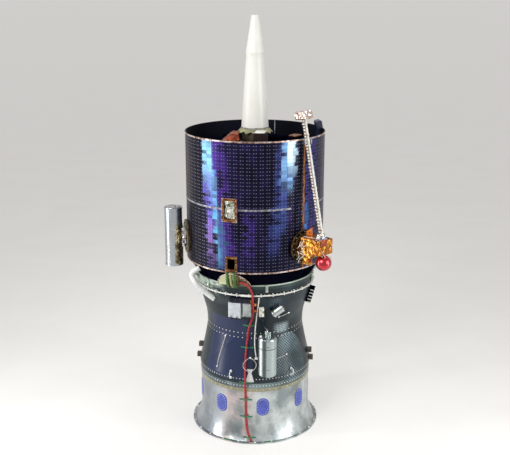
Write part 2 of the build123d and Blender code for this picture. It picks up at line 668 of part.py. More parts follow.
# Three curved solar panels, cut for the booms and, in front, for the two windows
PANEL_SPAN = 360 / len(PANELS)
SEAM_ANGLE = degrees(SEAT / DRUM_RADIUS)
for name, boom in PANELS.items():
    edge = BOOM_AZIMUTHS[boom]
    with BuildPart() as solar_panel:
        with BuildSketch(upright(edge + SEAM_ANGLE, 0, DRUM_BOTTOM)):
            with Locations((DRUM_INNER, 0)):
                Rectangle(PANEL_WALL, DRUM_LENGTH, align=(Align.MIN, Align.MIN))
        revolve(axis=Axis.Z, revolution_arc=PANEL_SPAN - 2 * SEAM_ANGLE)
        for azimuth in (edge, edge + PANEL_SPAN):
            with BuildSketch(facing(azimuth, DRUM_RADIUS / 2, BOOM_HEIGHT)):
                Circle(CANISTER_RADIUS + SEAT)
            extrude(amount=DRUM_RADIUS, mode=Mode.SUBTRACT)
        if name == "front":
            for azimuth, rise, width, height in (POD, LOWER_WINDOW):
                with BuildSketch(facing(azimuth, DRUM_RADIUS / 2, DRUM_BOTTOM + rise)):
                    Rectangle(width, height)
                extrude(amount=DRUM_RADIUS, mode=Mode.SUBTRACT)
    solar_panel.part.label = f"solar_panel_{name}"
    export_step(solar_panel.part, f"parts/solar_panel_{name}.step")

# Strips that cover the seams between the panels, left open round the booms
with BuildPart() as seam_strips:
    for azimuth in BOOM_AZIMUTHS.values():
        with BuildSketch(level(azimuth, DRUM_RADIUS, DRUM_BOTTOM)):
            Rectangle(4 * TRIM_WALL, SEAM_WIDTH)
        extrude(amount=DRUM_LENGTH)
        with BuildSketch(facing(azimuth, DRUM_RADIUS / 2, BOOM_HEIGHT)):
            Circle(CANISTER_RADIUS + MOUTH_RING_WIDTH + SEAT)
        extrude(amount=DRUM_RADIUS, mode=Mode.SUBTRACT)
    with BuildSketch(Plane.XY.offset(DRUM_BOTTOM + RIM_TRIM_HEIGHT + SEAT)):
        Circle(DRUM_RADIUS + TRIM_WALL / 2)
        Circle(DRUM_RADIUS + SEAT, mode=Mode.SUBTRACT)
    extrude(amount=DRUM_LENGTH - 2 * RIM_TRIM_HEIGHT - 2 * SEAT, mode=Mode.INTERSECT)
seam_strips.part.label = "seam_strips"
export_step(seam_strips.part, "parts/seam_strips.step")

# Trims round the drum's top and bottom edges
with BuildPart() as rim_trims:
    for low in (DRUM_BOTTOM, DRUM_TOP - RIM_TRIM_HEIGHT):
        ring(DRUM_RADIUS + SEAT, DRUM_RADIUS + TRIM_WALL, low, low + RIM_TRIM_HEIGHT)
rim_trims.part.label = "rim_trims"
export_step(rim_trims.part, "parts/rim_trims.step")

# Light band between the upper and lower rows of cells, broken by one bare stretch
with BuildPart() as middle_band:
    with BuildSketch(upright(MID_BAND_GAP[1], DRUM_RADIUS, MID_BAND)):
        with Locations((MID_BAND_STAND_OFF, 0)):
            Rectangle(TRIM_WALL / 4, MID_BAND_WIDTH, align=(Align.MIN, Align.CENTER))
    revolve(axis=Axis.Z, revolution_arc=360 - MID_BAND_GAP[1] + MID_BAND_GAP[0])
    for azimuth in BOOM_AZIMUTHS.values():
        with BuildSketch(level(azimuth, DRUM_RADIUS, MID_BAND - MID_BAND_WIDTH)):
            Rectangle(4 * TRIM_WALL, SEAM_WIDTH + 2 * SEAT)
        extrude(amount=2 * MID_BAND_WIDTH, mode=Mode.SUBTRACT)
    with BuildSketch(facing(POD[0], DRUM_RADIUS / 2, DRUM_BOTTOM + POD[1])):
        Rectangle(POD[2] + 2 * SEAT, POD[3])
    extrude(amount=DRUM_RADIUS, mode=Mode.SUBTRACT)
middle_band.part.label = "middle_band"
export_step(middle_band.part, "parts/middle_band.step")

# Frames of the two windows: the pod's is a tray, the lower one is open
for name, window, depth, floor in (("pod_frame", POD, POD_DEPTH, PANEL_WALL),
                                   ("lower_window_frame", LOWER_WINDOW, PANEL_WALL / 2, 0)):
    azimuth, rise, width, height = window
    with BuildPart() as window_frame:
        with BuildSketch(facing(azimuth, DRUM_RADIUS - depth, DRUM_BOTTOM + rise)):
            Rectangle(width - 2 * SEAT, height - 2 * SEAT)
        extrude(amount=depth + FRAME_PROUD)
        with BuildSketch(facing(azimuth, DRUM_RADIUS - depth + floor, DRUM_BOTTOM + rise)):
            Rectangle(width - 2 * FRAME_BORDER, height - 2 * FRAME_BORDER)
        extrude(amount=2 * POD_DEPTH, mode=Mode.SUBTRACT)
    window_frame.part.label = name
    export_step(window_frame.part, f"parts/{name}.step")

# Thruster cluster set in the pod's tray
with BuildPart() as pod_thrusters:
    tray_floor = DRUM_RADIUS - POD_DEPTH + PANEL_WALL + SEAT
    with BuildSketch(facing(POD[0], tray_floor, DRUM_BOTTOM + POD[1])):
        Rectangle(POD[2] - 2 * (FRAME_BORDER + 1), POD[3] - 2 * (FRAME_BORDER + 1))
    extrude(amount=DRUM_RADIUS - tray_floor)
    for side in (-1, 1):
        height = DRUM_BOTTOM + POD[1] + side * THRUSTER_SPACING / 2
        with BuildSketch(facing(POD[0], DRUM_RADIUS, height)):
            Circle(THRUSTER_THROAT_RADIUS)
        with BuildSketch(facing(POD[0], DRUM_RADIUS + THRUSTER_LENGTH, height)):
            Circle(THRUSTER_MOUTH_RADIUS)
        loft()
pod_thrusters.part.label = "pod_thrusters"
export_step(pod_thrusters.part, "parts/pod_thrusters.step")

# Canisters that hold the three coiled masts, and the masts with their tip plates
for name, azimuth in BOOM_AZIMUTHS.items():
    boom_axis = Axis((0, 0, BOOM_HEIGHT), outward(azimuth))
    with BuildPart() as canister:
        with BuildSketch(upright(azimuth, 0, BOOM_HEIGHT)):
            with BuildLine():
                mouth_ring = CANISTER_RADIUS + MOUTH_RING_WIDTH
                Polyline((CANISTER_BACK, 0), (CANISTER_BACK, CANISTER_RADIUS),
                         (CANISTER_MOUTH, CANISTER_RADIUS), (CANISTER_MOUTH, mouth_ring),
                         (TIP_FACE, mouth_ring), (TIP_FACE, CANISTER_BORE),
                         (CANISTER_BACK + CANISTER_WALL, CANISTER_BORE),
                         (CANISTER_BACK + CANISTER_WALL, 0), close=True)
            make_face()
        revolve(axis=boom_axis)
    canister.part.label = f"canister_{name}"
    export_step(canister.part, f"parts/canister_{name}.step")

    with BuildPart() as mast:
        pack_back = CANISTER_BACK + CANISTER_WALL + SEAT
        plate_back = TIP_FACE - TIP_PLATE_THICKNESS
        pack_length = plate_back - SEAT - pack_back
        turn = pack_length / MAST_TURNS
        with BuildSketch(upright(azimuth, 0, BOOM_HEIGHT)):
            with Locations((pack_back, 0)):
                Rectangle(pack_length, MAST_RADIUS, align=(Align.MIN, Align.MIN))
            with Locations(*[(pack_back + turn * (count + 0.5), MAST_RADIUS)
                             for count in range(MAST_TURNS)]):
                Rectangle(turn / 2, 2 * MAST_GROOVE, mode=Mode.SUBTRACT)
            with Locations((plate_back, 0)):
                Rectangle(TIP_PLATE_THICKNESS, TIP_PLATE_RADIUS, align=(Align.MIN, Align.MIN))
        revolve(axis=boom_axis)
    mast.part.label = f"mast_{name}"
    export_step(mast.part, f"parts/mast_{name}.step")

# Electron sensor on mast a: a round neck and a box with a belly at its inner end
BOX_BACK = TIP_FACE + ELECTRON_NECK_LENGTH
BOX_FRONT = BOX_BACK + ELECTRON_BOX_LENGTH
BOX_TOP = BOOM_HEIGHT + ELECTRON_BOX_TOP
BOX_BOTTOM = BOOM_HEIGHT + ELECTRON_BOX_BOTTOM
with BuildPart() as electron_sensor:
    with BuildSketch(facing(AZIMUTH_A, TIP_FACE + SEAT, BOOM_HEIGHT)):
        Circle(ELECTRON_NECK_RADIUS)
    extrude(amount=BOX_BACK - TIP_FACE)
    belly_length, belly_ramp, belly_depth = ELECTRON_BELLY
    with BuildSketch(upright(AZIMUTH_A)):
        Polygon((BOX_BACK, BOX_TOP), (BOX_FRONT, BOX_TOP), (BOX_FRONT, BOX_BOTTOM),
                (BOX_BACK + belly_length + belly_ramp, BOX_BOTTOM),
                (BOX_BACK + belly_length, BOX_BOTTOM - belly_depth),
                (BOX_BACK, BOX_BOTTOM - belly_depth), align=None)
    extrude(amount=ELECTRON_BOX_WIDTH / 2, both=True)
electron_sensor.part.label = "electron_sensor"
export_step(electron_sensor.part, "parts/electron_sensor.step")

# Hinge bracket on top of the sensor: a foot plate with two ears
HINGE_REACH = BOX_FRONT - HINGE_INSET
HINGE_HEIGHT = BOX_TOP + HINGE_RISE
with BuildPart() as hinge_bracket:
    with BuildSketch(level(AZIMUTH_A, HINGE_REACH, BOX_TOP + SEAT)):
        Rectangle(HINGE_FOOT[0], HINGE_WIDTH + 2 * HINGE_EAR)
    extrude(amount=HINGE_FOOT[1])
    ear_height = HINGE_RISE - SEAT
    for side in (-1, 1):
        ear_shift = side * (HINGE_WIDTH + HINGE_EAR) / 2
        with BuildSketch(upright(AZIMUTH_A, HINGE_REACH, HINGE_HEIGHT, ear_shift)):
            with Locations((0, -ear_height / 2)):
                Rectangle(2 * HINGE_EAR_RADIUS, ear_height)
            Circle(HINGE_EAR_RADIUS)
        extrude(amount=HINGE_EAR / 2, both=True)
    with BuildSketch(upright(AZIMUTH_A, HINGE_REACH, HINGE_HEIGHT)):
        Circle(HINGE_PIN_RADIUS + RUNNING)
    extrude(amount=HINGE_WIDTH, both=True, mode=Mode.SUBTRACT)
hinge_bracket.part.label = "hinge_bracket"
export_step(hinge_bracket.part, "parts/hinge_bracket.step")

# Ball-shaped detector cover that hangs under the electron sensor
with BuildPart() as detector_ball:
    ball_height = BOX_BOTTOM - SEAT - BALL_NECK_LENGTH - BALL_RADIUS
    with Locations(place(AZIMUTH_A, BOX_FRONT - BALL_INSET, ball_height)):
        Sphere(BALL_RADIUS)
    with BuildSketch(level(AZIMUTH_A, BOX_FRONT - BALL_INSET, ball_height)):
        Circle(BALL_NECK_RADIUS)
    extrude(amount=BALL_RADIUS + BALL_NECK_LENGTH)
detector_ball.part.label = "detector_ball"
export_step(detector_ball.part, "parts/detector_ball.step")

# Magnetometer boom, folded up against the drum: tube, conduit, spacers, knuckle and pin
boom_frame = sloping(AZIMUTH_A, HINGE_REACH, HINGE_HEIGHT, -MAG_BOOM_LEAN)
boom_root = Plane(origin=boom_frame.origin, x_dir=around(AZIMUTH_A), z_dir=boom_frame.y_dir)
with BuildPart() as mag_boom:
    with BuildSketch(upright(AZIMUTH_A, HINGE_REACH, HINGE_HEIGHT)):
        Circle(HINGE_PIN_RADIUS)
    extrude(amount=HINGE_WIDTH / 2 + HINGE_EAR + 3, both=True)
    with BuildSketch(upright(AZIMUTH_A, HINGE_REACH, HINGE_HEIGHT)):
        Circle(MAG_KNUCKLE_RADIUS)
    extrude(amount=HINGE_WIDTH / 2 - MOVING, both=True)
    with BuildSketch(boom_root):
        with Locations((0.45 * MAG_TUBE_SPACING, 0)):
            Circle(MAG_TUBE_RADIUS)
        with Locations((-0.55 * MAG_TUBE_SPACING, 0)):
            Circle(MAG_CONDUIT_RADIUS)
    extrude(amount=MAG_BOOM_LENGTH)
    for number in range(MAG_SPACERS):
        along = MAG_BOOM_LENGTH * (number + 0.5) / MAG_SPACERS
        with BuildSketch(boom_root.offset(along)):
            SlotOverall(MAG_SPACER[0], MAG_SPACER[1])
        extrude(amount=MAG_SPACER[2])
mag_boom.part.label = "mag_boom"
export_step(mag_boom.part, "parts/mag_boom.step")

with BuildPart() as mag_sensor:
    with BuildSketch(boom_root.offset(MAG_BOOM_LENGTH + SEAT)):
        Rectangle(MAG_BOX[0], MAG_BOX[1])
    extrude(amount=MAG_BOX[2])
mag_sensor.part.label = "mag_sensor"
export_step(mag_sensor.part, "parts/mag_sensor.step")

# Fork on the drum's rim that steadies the stowed boom without touching it
with BuildPart() as boom_latch:
    prong_shift = MAG_SPACER[0] / 2 + MOVING + LATCH_PRONG / 2
    rim_reach = DRUM_RADIUS + TRIM_WALL + SEAT
    with BuildSketch(level(AZIMUTH_A, DRUM_RADIUS, DRUM_TOP - LATCH_HEIGHT)):
        Rectangle(2 * (rim_reach - DRUM_RADIUS + LATCH_BASE), 2 * prong_shift + LATCH_PRONG)
        with Locations((0, -prong_shift), (0, prong_shift)):
            Rectangle(2 * (rim_reach - DRUM_RADIUS + LATCH_REACH), LATCH_PRONG)
    extrude(amount=LATCH_HEIGHT)
    with Locations((0, 0, DRUM_TOP)):
        Cylinder(rim_reach, 4 * LATCH_HEIGHT, mode=Mode.SUBTRACT)
boom_latch.part.label = "boom_latch"
export_step(boom_latch.part, "parts/boom_latch.step")

# Gamma sensor: an upright can with lipped ends on the tip of mast c, and its block
GAMMA_REACH = TIP_FACE + GAMMA_STAND_OFF + GAMMA_RADIUS
GAMMA_LOW = BOOM_HEIGHT - GAMMA_HANG
with BuildPart() as gamma_sensor:
    with BuildSketch(level(AZIMUTH_C, GAMMA_REACH, GAMMA_LOW)):
        Circle(GAMMA_RADIUS - GAMMA_LIP)
    extrude(amount=GAMMA_LENGTH)
    for low in (GAMMA_LOW, GAMMA_LOW + GAMMA_LENGTH - GAMMA_CAP):
        with BuildSketch(level(AZIMUTH_C, GAMMA_REACH, low)):
            Circle(GAMMA_RADIUS)
        extrude(amount=GAMMA_CAP)
gamma_sensor.part.label = "gamma_sensor"
export_step(gamma_sensor.part, "parts/gamma_sensor.step")

with BuildPart() as gamma_bracket:
    with BuildSketch(facing(AZIMUTH_C, TIP_FACE + SEAT, BOOM_HEIGHT)):
        Rectangle(GAMMA_BLOCK[0], GAMMA_BLOCK[1])
    extrude(amount=GAMMA_STAND_OFF + GAMMA_RADIUS)
    with BuildSketch(level(AZIMUTH_C, GAMMA_REACH, GAMMA_LOW)):
        Circle(GAMMA_RADIUS - GAMMA_LIP + SEAT)
    extrude(amount=GAMMA_LENGTH, mode=Mode.SUBTRACT)
gamma_bracket.part.label = "gamma_bracket"
export_step(gamma_bracket.part, "parts/gamma_bracket.step")

# Particle sensors on mast b: a chamfered cube and two tubes slung under it
CUBE_HEIGHT = BOOM_HEIGHT + CUBE_LIFT
with BuildPart() as particle_cube:
    with BuildSketch(facing(AZIMUTH_B, TIP_FACE + SEAT, CUBE_HEIGHT)):
        Rectangle(CUBE_SIDE, CUBE_SIDE)
    extrude(amount=CUBE_SIDE)
    chamfer(particle_cube.edges(), length=CUBE_SIDE / 5)
particle_cube.part.label = "particle_cube"
export_step(particle_cube.part, "parts/particle_cube.step")

with BuildPart() as neutron_tubes:
    tube_height = CUBE_HEIGHT - CUBE_SIDE / 2 - SEAT - TUBE_RADIUS
    for number in range(2):
        tube_reach = TIP_FACE + CUBE_SIDE / 5 + TUBE_RADIUS + number * TUBE_SPACING
        with BuildSketch(upright(AZIMUTH_B, tube_reach, tube_height)):
            Circle(TUBE_RADIUS)
        extrude(amount=TUBE_LENGTH / 2, both=True)
neutron_tubes.part.label = "neutron_tubes"
export_step(neutron_tubes.part, "parts/neutron_tubes.step")

# Antenna: a collar with a skirt of tabs on the deck, and the white tapered radome
with BuildPart() as antenna_collar:
    with BuildSketch(Plane.XY.offset(UPPER_DECK)):
        Circle(COLLAR_RADIUS)
    extrude(amount=COLLAR_HEIGHT)
    tab_height = RADOME_FOOT - COLLAR_TAB_DROP
    for number in range(COLLAR_TABS):
        with BuildSketch(upright(number * 360 / COLLAR_TABS)):
            Polygon((COLLAR_RADIUS - COLLAR_TAB_ROOT, RADOME_FOOT - COLLAR_TAB_DROP / 2),
                    (COLLAR_TAB_REACH, tab_height),
                    (COLLAR_RADIUS - COLLAR_TAB_ROOT, tab_height + COLLAR_TAB_ROOT), align=None)
        extrude(amount=COLLAR_TAB_THICKNESS / 2, both=True)
antenna_collar.part.label = "antenna_collar"
export_step(antenna_collar.part, "parts/antenna_collar.step")

with BuildPart() as antenna_radome:
    radome_step = RADOME_FOOT + RADOME_TAPER_LENGTH
    radome_shoulder = radome_step + RADOME_STEP_LENGTH
    radome_top = radome_shoulder + RADOME_TIP_LENGTH
    with BuildSketch(Plane.XZ):
        with BuildLine():
            Polyline((0, RADOME_FOOT), (RADOME_FOOT_RADIUS, RADOME_FOOT),
                     (RADOME_STEP_RADIUS, radome_step), (RADOME_SHOULDER_RADIUS, radome_shoulder),
                     (RADOME_TIP_RADIUS, radome_top), (0, radome_top), close=True)
        make_face()
    revolve(axis=Axis.Z)
antenna_radome.part.label = "antenna_radome"
export_step(antenna_radome.part, "parts/antenna_radome.step")

# Boxes on the upper deck
for name, boxes in (("deck_box", (DECK_BOX,)), ("rear_boxes", REAR_BOXES)):
    with BuildPart() as deck_boxes:
        for azimuth, reach, width, depth, rise in boxes:
            with BuildSketch(level(azimuth, reach, UPPER_DECK)):
                Rectangle(depth, width)
            extrude(amount=rise)
    deck_boxes.part.label = name
    export_step(deck_boxes.part, f"parts/{name}.step")

# Blanket tent on the upper deck, with its ridge off the middle
with BuildPart() as blanket_tent:
    tent_foot = Plane(origin=place(*TENT_PLACE, UPPER_DECK))
    with BuildSketch(tent_foot):
        Rectangle(TENT_FOOT[0], TENT_FOOT[1])
    with BuildSketch(tent_foot.offset(TENT_RISE)):
        with Locations((TENT_LEAN, 0)):
            Rectangle(TENT_RIDGE[0], TENT_RIDGE[1])
    loft()
blanket_tent.part.label = "blanket_tent"
export_step(blanket_tent.part, "parts/blanket_tent.step")

# Sun sensor on a post behind the drum's rim
with BuildPart() as rim_sensor:
    azimuth, inset = RIM_SENSOR_PLACE
    depth, width, rise = RIM_SENSOR_SIZE
    with BuildSketch(level(azimuth, DRUM_RADIUS - inset, UPPER_DECK)):
        Rectangle(RIM_SENSOR_POST[0], RIM_SENSOR_POST[1])
    extrude(amount=UPPER_DECK_DEPTH + rise / 2)
    with BuildSketch(upright(azimuth, DRUM_RADIUS - inset, DRUM_TOP + rise / 2)):
        RectangleRounded(depth, rise, RIM_SENSOR_ROUND, rotation=RIM_SENSOR_TURN)
    extrude(amount=width / 2, both=True)
rim_sensor.part.label = "rim_sensor"
export_step(rim_sensor.part, "parts/rim_sensor.step")

# Pressure bottle on the leg of the stage, and the two saddles that carry it
BOTTLE_LOW = SHELL_FOOT + BOTTLE_RISE
BOTTLE_REACH = KNEE_RADIUS + BOTTLE_GAP + BOTTLE_RADIUS
with BuildPart() as pressure_bottle:
    with BuildSketch(level(BOTTLE_AZIMUTH, BOTTLE_REACH, BOTTLE_LOW)):
        Circle(BOTTLE_RADIUS)
    extrude(amount=BOTTLE_LENGTH)
    fillet(pressure_bottle.edges(), radius=BOTTLE_SHOULDER)
    with BuildSketch(level(BOTTLE_AZIMUTH, BOTTLE_REACH, BOTTLE_LOW)):
        Circle(BOTTLE_NECK_RADIUS)
    extrude(amount=BOTTLE_LENGTH + BOTTLE_NECK_LENGTH)
pressure_bottle.part.label = "pressure_bottle"
export_step(pressure_bottle.part, "parts/pressure_bottle.step")

with BuildPart() as bottle_saddles:
    for rise in BOTTLE_SADDLES:
        with BuildSketch(level(BOTTLE_AZIMUTH, WAIST_RADIUS - SHELL_WALL, BOTTLE_LOW + rise)):
            Rectangle(BOTTLE_REACH - WAIST_RADIUS + SHELL_WALL, BOTTLE_SADDLE_WIDTH,
                      align=(Align.MIN, Align.CENTER))
        extrude(amount=BOTTLE_SADDLE_HEIGHT)
    with BuildSketch(level(BOTTLE_AZIMUTH, BOTTLE_REACH, BOTTLE_LOW)):
        Circle(BOTTLE_RADIUS + SEAT)
    extrude(amount=BOTTLE_LENGTH, mode=Mode.SUBTRACT)
    trim_to_shell()
bottle_saddles.part.label = "bottle_saddles"
export_step(bottle_saddles.part, "parts/bottle_saddles.step")

# Boxes on the bell of the stage
for name, azimuth, drop, box_height, width, proud in STAGE_BOXES:
    with BuildPart() as stage_box:
        box_start = STAGE_TOP_RADIUS / 2
        with BuildSketch(facing(azimuth, box_start, STAGE_TOP - drop - box_height / 2)):
            Rectangle(width, box_height)
        extrude(amount=STAGE_TOP_RADIUS + proud - box_start)
        trim_to_shell()
    stage_box.part.label = name
    export_step(stage_box.part, f"parts/{name}.step")

# Small cylinder that lies aslant on the bell, on its foot block
with BuildPart() as aslant_cylinder:
    aslant_face = on_bell(ASLANT_AZIMUTH, STAGE_TOP - ASLANT_DROP)
    with BuildSketch(aslant_face):
        Rectangle(ASLANT_FOOT[0], ASLANT_FOOT[1], rotation=ASLANT_TURN)
    extrude(amount=ASLANT_STAND_OFF + ASLANT_RADIUS)
    aslant_axis = (aslant_face.x_dir * cos(radians(ASLANT_TURN))
                   + aslant_face.y_dir * sin(radians(ASLANT_TURN)))
    aslant_middle = aslant_face.origin + aslant_face.z_dir * (ASLANT_STAND_OFF + ASLANT_RADIUS)
    with BuildSketch(Plane(origin=aslant_middle, z_dir=aslant_axis)):
        Circle(ASLANT_RADIUS)
    extrude(amount=ASLANT_LENGTH / 2, both=True)
aslant_cylinder.part.label = "aslant_cylinder"
export_step(aslant_cylinder.part, "parts/aslant_cylinder.step")

# Finned bracket on the bell
with BuildPart() as finned_bracket:
    post_width, post_height, post_proud = FIN_POST
    fin_face = on_bell(FIN_AZIMUTH, STAGE_TOP - FIN_DROP - post_height / 2)
    with BuildSketch(fin_face):
        Rectangle(post_width, post_height)
    extrude(amount=post_proud)
    with BuildSketch(fin_face):
        with Locations(*[(0, post_height * ((number + 0.5) / FINS - 0.5))
                         for number in range(FINS)]):
            Rectangle(FIN_SIZE[0], FIN_SIZE[2], rotation=FIN_TURN)
    extrude(amount=post_proud + FIN_SIZE[1])
finned_bracket.part.label = "finned_bracket"
export_step(finned_bracket.part, "parts/finned_bracket.step")

# Brackets round the knee of the leg
with BuildPart() as leg_brackets:
    depth, width, bracket_height = LEG_BRACKET_SIZE
    for azimuth, rise in LEG_BRACKETS:
        root = WAIST_RADIUS - SHELL_WALL
        height = SHELL_FOOT + rise
        with BuildSketch(level(azimuth, root, height)):
            Rectangle(surface_radius(height) - root + depth, width,
                      align=(Align.MIN, Align.CENTER))
        extrude(amount=bracket_height)
    trim_to_shell()
leg_brackets.part.label = "leg_brackets"
export_step(leg_brackets.part, "parts/leg_brackets.step")

# Service cable from the umbilical cover down to its foot on the flange
cover_face = on_cone(UMBILICAL_AZIMUTH, 0)
cable_points = [cover_face.from_local_coords(point) for point in CABLE_ON_COVER]
cable_points += route_points(CABLE_ROUTE)
with BuildPart() as service_cable:
    with BuildLine() as cable_line:
        FilletPolyline(*cable_points, radius=corner_radii(cable_points))
    with BuildSketch(Plane(origin=cable_points[0], z_dir=cable_points[1] - cable_points[0])):
        Circle(CABLE_RADIUS)
    sweep(path=cable_line.line)
service_cable.part.label = "service_cable"
export_step(service_cable.part, "parts/service_cable.step")

with BuildPart() as cable_foot:
    with BuildSketch(level(CABLE_ROUTE[-1][2], SKIRT_FOOT_RADIUS + SEAT,
                           FLANGE_THICKNESS + SEAT)):
        Rectangle(CABLE_FOOT[0], CABLE_FOOT[1], align=(Align.MIN, Align.CENTER))
    extrude(amount=CABLE_FOOT[2])
cable_foot.part.label = "cable_foot"
export_step(cable_foot.part, "parts/cable_foot.step")

# White harness from the ring to its clamp on the leg
drop_points = route_points(DROP_ROUTE)
with BuildPart() as harness_drop:
    with BuildLine() as drop_line:
        FilletPolyline(*drop_points, radius=corner_radii(drop_points))
    with BuildSketch(Plane(origin=drop_points[0], z_dir=drop_points[1] - drop_points[0])):
        Circle(DROP_RADIUS)
    sweep(path=drop_line.line)
harness_drop.part.label = "harness_drop"
export_step(harness_drop.part, "parts/harness_drop.step")

with BuildPart() as drop_clamp:
    clamp_height = WAIST + DROP_ROUTE[-1][1] - DROP_RADIUS / 3 - DROP_CLAMP[2]
    with BuildSketch(level(DROP_ROUTE[-1][2], WAIST_RADIUS, clamp_height)):
        Rectangle(surface_radius(clamp_height) - WAIST_RADIUS + DROP_CLAMP[0], DROP_CLAMP[1],
                  align=(Align.MIN, Align.CENTER))
    extrude(amount=DROP_CLAMP[2])
    trim_to_shell()
drop_clamp.part.label = "drop_clamp"
export_step(drop_clamp.part, "parts/drop_clamp.step")
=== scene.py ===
"""Dresses the drum spacecraft and its injection stage, and sets the studio round them.

Everything is in metres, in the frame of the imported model: +Z runs up the spin axis from
the floor, and the photographed side faces -Y. An azimuth is in degrees from -Y towards
+X, and a reach is a distance from the spin axis.
"""
from __future__ import annotations

import logging
import math
import random
from contextlib import contextmanager
from dataclasses import dataclass
from enum import Enum
from functools import cached_property
from typing import Callable, Iterator, Sequence

import bmesh
import bpy
from mathutils import Matrix, Vector


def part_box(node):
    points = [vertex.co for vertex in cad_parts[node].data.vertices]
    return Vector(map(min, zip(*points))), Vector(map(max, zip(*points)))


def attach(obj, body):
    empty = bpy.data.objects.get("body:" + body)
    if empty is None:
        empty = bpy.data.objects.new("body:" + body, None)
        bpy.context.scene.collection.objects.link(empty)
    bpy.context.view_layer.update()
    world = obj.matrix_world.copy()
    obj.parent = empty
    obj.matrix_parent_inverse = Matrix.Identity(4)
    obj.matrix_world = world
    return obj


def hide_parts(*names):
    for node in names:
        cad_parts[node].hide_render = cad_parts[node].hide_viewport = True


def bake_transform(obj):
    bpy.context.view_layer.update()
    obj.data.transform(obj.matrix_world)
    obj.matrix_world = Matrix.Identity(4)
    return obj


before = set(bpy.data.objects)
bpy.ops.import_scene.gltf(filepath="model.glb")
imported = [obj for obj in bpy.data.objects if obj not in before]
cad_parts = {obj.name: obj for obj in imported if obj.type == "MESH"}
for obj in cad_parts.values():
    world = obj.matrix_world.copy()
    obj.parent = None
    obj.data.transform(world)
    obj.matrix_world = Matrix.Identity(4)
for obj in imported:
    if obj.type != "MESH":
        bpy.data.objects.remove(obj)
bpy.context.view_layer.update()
LOG = logging.getLogger("spacecraft")

Triple = tuple[float, float, float]
Colour = Triple
Span = tuple[float, float]
Line = Sequence[tuple[float, float]]
Socket = bpy.types.NodeSocket
Mesh = bpy.types.Object

CRAFT = "spacecraft_and_stage"
BOOM_AZIMUTHS = {"a": 42.0, "b": 162.0, "c": 282.0}
UP = Vector((0.0, 0.0, 1.0))
UPRIGHT = Matrix.Identity(4)
DEGREES = 180 / math.pi
FILM_ANGLE = 24.0
WIRE_ANGLE = 50.0


class Wrap(Enum):
    """How tightly a film is wrapped round what it covers."""

    TAUT = 0.5
    LOOSE = 1.0
    SLACK = 1.6


# Places


def outward(azimuth: float) -> Vector:
    """Unit vector that points away from the spin axis."""
    turn = math.radians(azimuth)
    return Vector((math.sin(turn), -math.cos(turn), 0.0))


def around(azimuth: float) -> Vector:
    """Unit vector that runs round the craft, anticlockwise from above."""
    turn = math.radians(azimuth)
    return Vector((math.cos(turn), math.sin(turn), 0.0))


def place(azimuth: float, reach: float, height: float, shift: float = 0.0) -> Vector:
    """Point at a reach from the spin axis, shifted sideways round the craft."""
    return outward(azimuth) * reach + around(azimuth) * shift + UP * height


def facing(azimuth: float, tilt: float = 0.0) -> Matrix:
    """Turn whose Z points outward, tipped down by tilt, and whose X runs round.

    Args:
        azimuth: Direction that it faces.
        tilt: Degrees by which it looks down.

    Returns:
        The turn as a 4 by 4 matrix.
    """
    turn = math.radians(tilt)
    normal = outward(azimuth) * math.cos(turn) - UP * math.sin(turn)
    side = around(azimuth)
    return Matrix((side, normal.cross(side), normal)).transposed().to_4x4()


def circle_spot(radius: float, degrees: float) -> tuple[float, float]:
    """Two coordinates of a point on a circle, anticlockwise from the first axis."""
    angle = math.radians(degrees)
    return radius * math.cos(angle), radius * math.sin(angle)


def low(node: str) -> Vector:
    """Lowest corner of a CAD node."""
    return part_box(node)[0]


def high(node: str) -> Vector:
    """Highest corner of a CAD node."""
    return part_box(node)[1]


def middle(node: str) -> Vector:
    """Middle of a CAD node's box."""
    return (low(node) + high(node)) / 2


ADAPTER_TOP = high("base_adapter").z
SHELL_LOW = low("interstage_shell").z
SHELL_TOP = high("interstage_shell").z
CONE_LOW = high("stage_top_ring").z
DRUM_LOW = low("solar_panel_rear").z
DRUM_TOP = high("solar_panel_rear").z
DRUM_RADIUS = high("middle_band").x - 0.0018
DECK_TOP = high("equipment_deck").z
BOOM_HEIGHT = middle("canister_a").z
WAIST_RADIUS = high("motor_ring").x + 0.0103
WAIST_HEIGHT = middle("motor_ring").z
SHELL_TOP_RADIUS = high("stage_top_ring").x
KNEE_RADIUS = 0.572
KNEE_HEIGHT = SHELL_LOW + 0.072
LEG_HOLLOW = 0.016
THROAT_RADIUS = 0.503
BELL_HEIGHT = 0.317
THROAT_HEIGHT = SHELL_TOP - BELL_HEIGHT
BELL_TILT = math.degrees(math.atan2(SHELL_TOP_RADIUS - THROAT_RADIUS, BELL_HEIGHT))
BOTTLE_AZIMUTH = 10.5
BOTTLE_REACH = 0.666


def shell_radius(height: float) -> float:
    """Outer radius of the waisted shell at a height.

    Args:
        height: Height over the floor.

    Returns:
        The radius on the knee, the hollow leg, the throat or the bell.
    """
    if height < KNEE_HEIGHT:
        return KNEE_RADIUS
    if height < WAIST_HEIGHT:
        share = (height - KNEE_HEIGHT) / (WAIST_HEIGHT - KNEE_HEIGHT)
        hollow = LEG_HOLLOW * share * (1 - share)
        return KNEE_RADIUS + share * (WAIST_RADIUS - KNEE_RADIUS) - hollow
    if height < THROAT_HEIGHT:
        share = (height - WAIST_HEIGHT) / (THROAT_HEIGHT - WAIST_HEIGHT)
        return WAIST_RADIUS + share * (THROAT_RADIUS - WAIST_RADIUS)
    share = min((height - THROAT_HEIGHT) / BELL_HEIGHT, 1.0)
    return THROAT_RADIUS + share * (SHELL_TOP_RADIUS - THROAT_RADIUS)


# Shader graphs


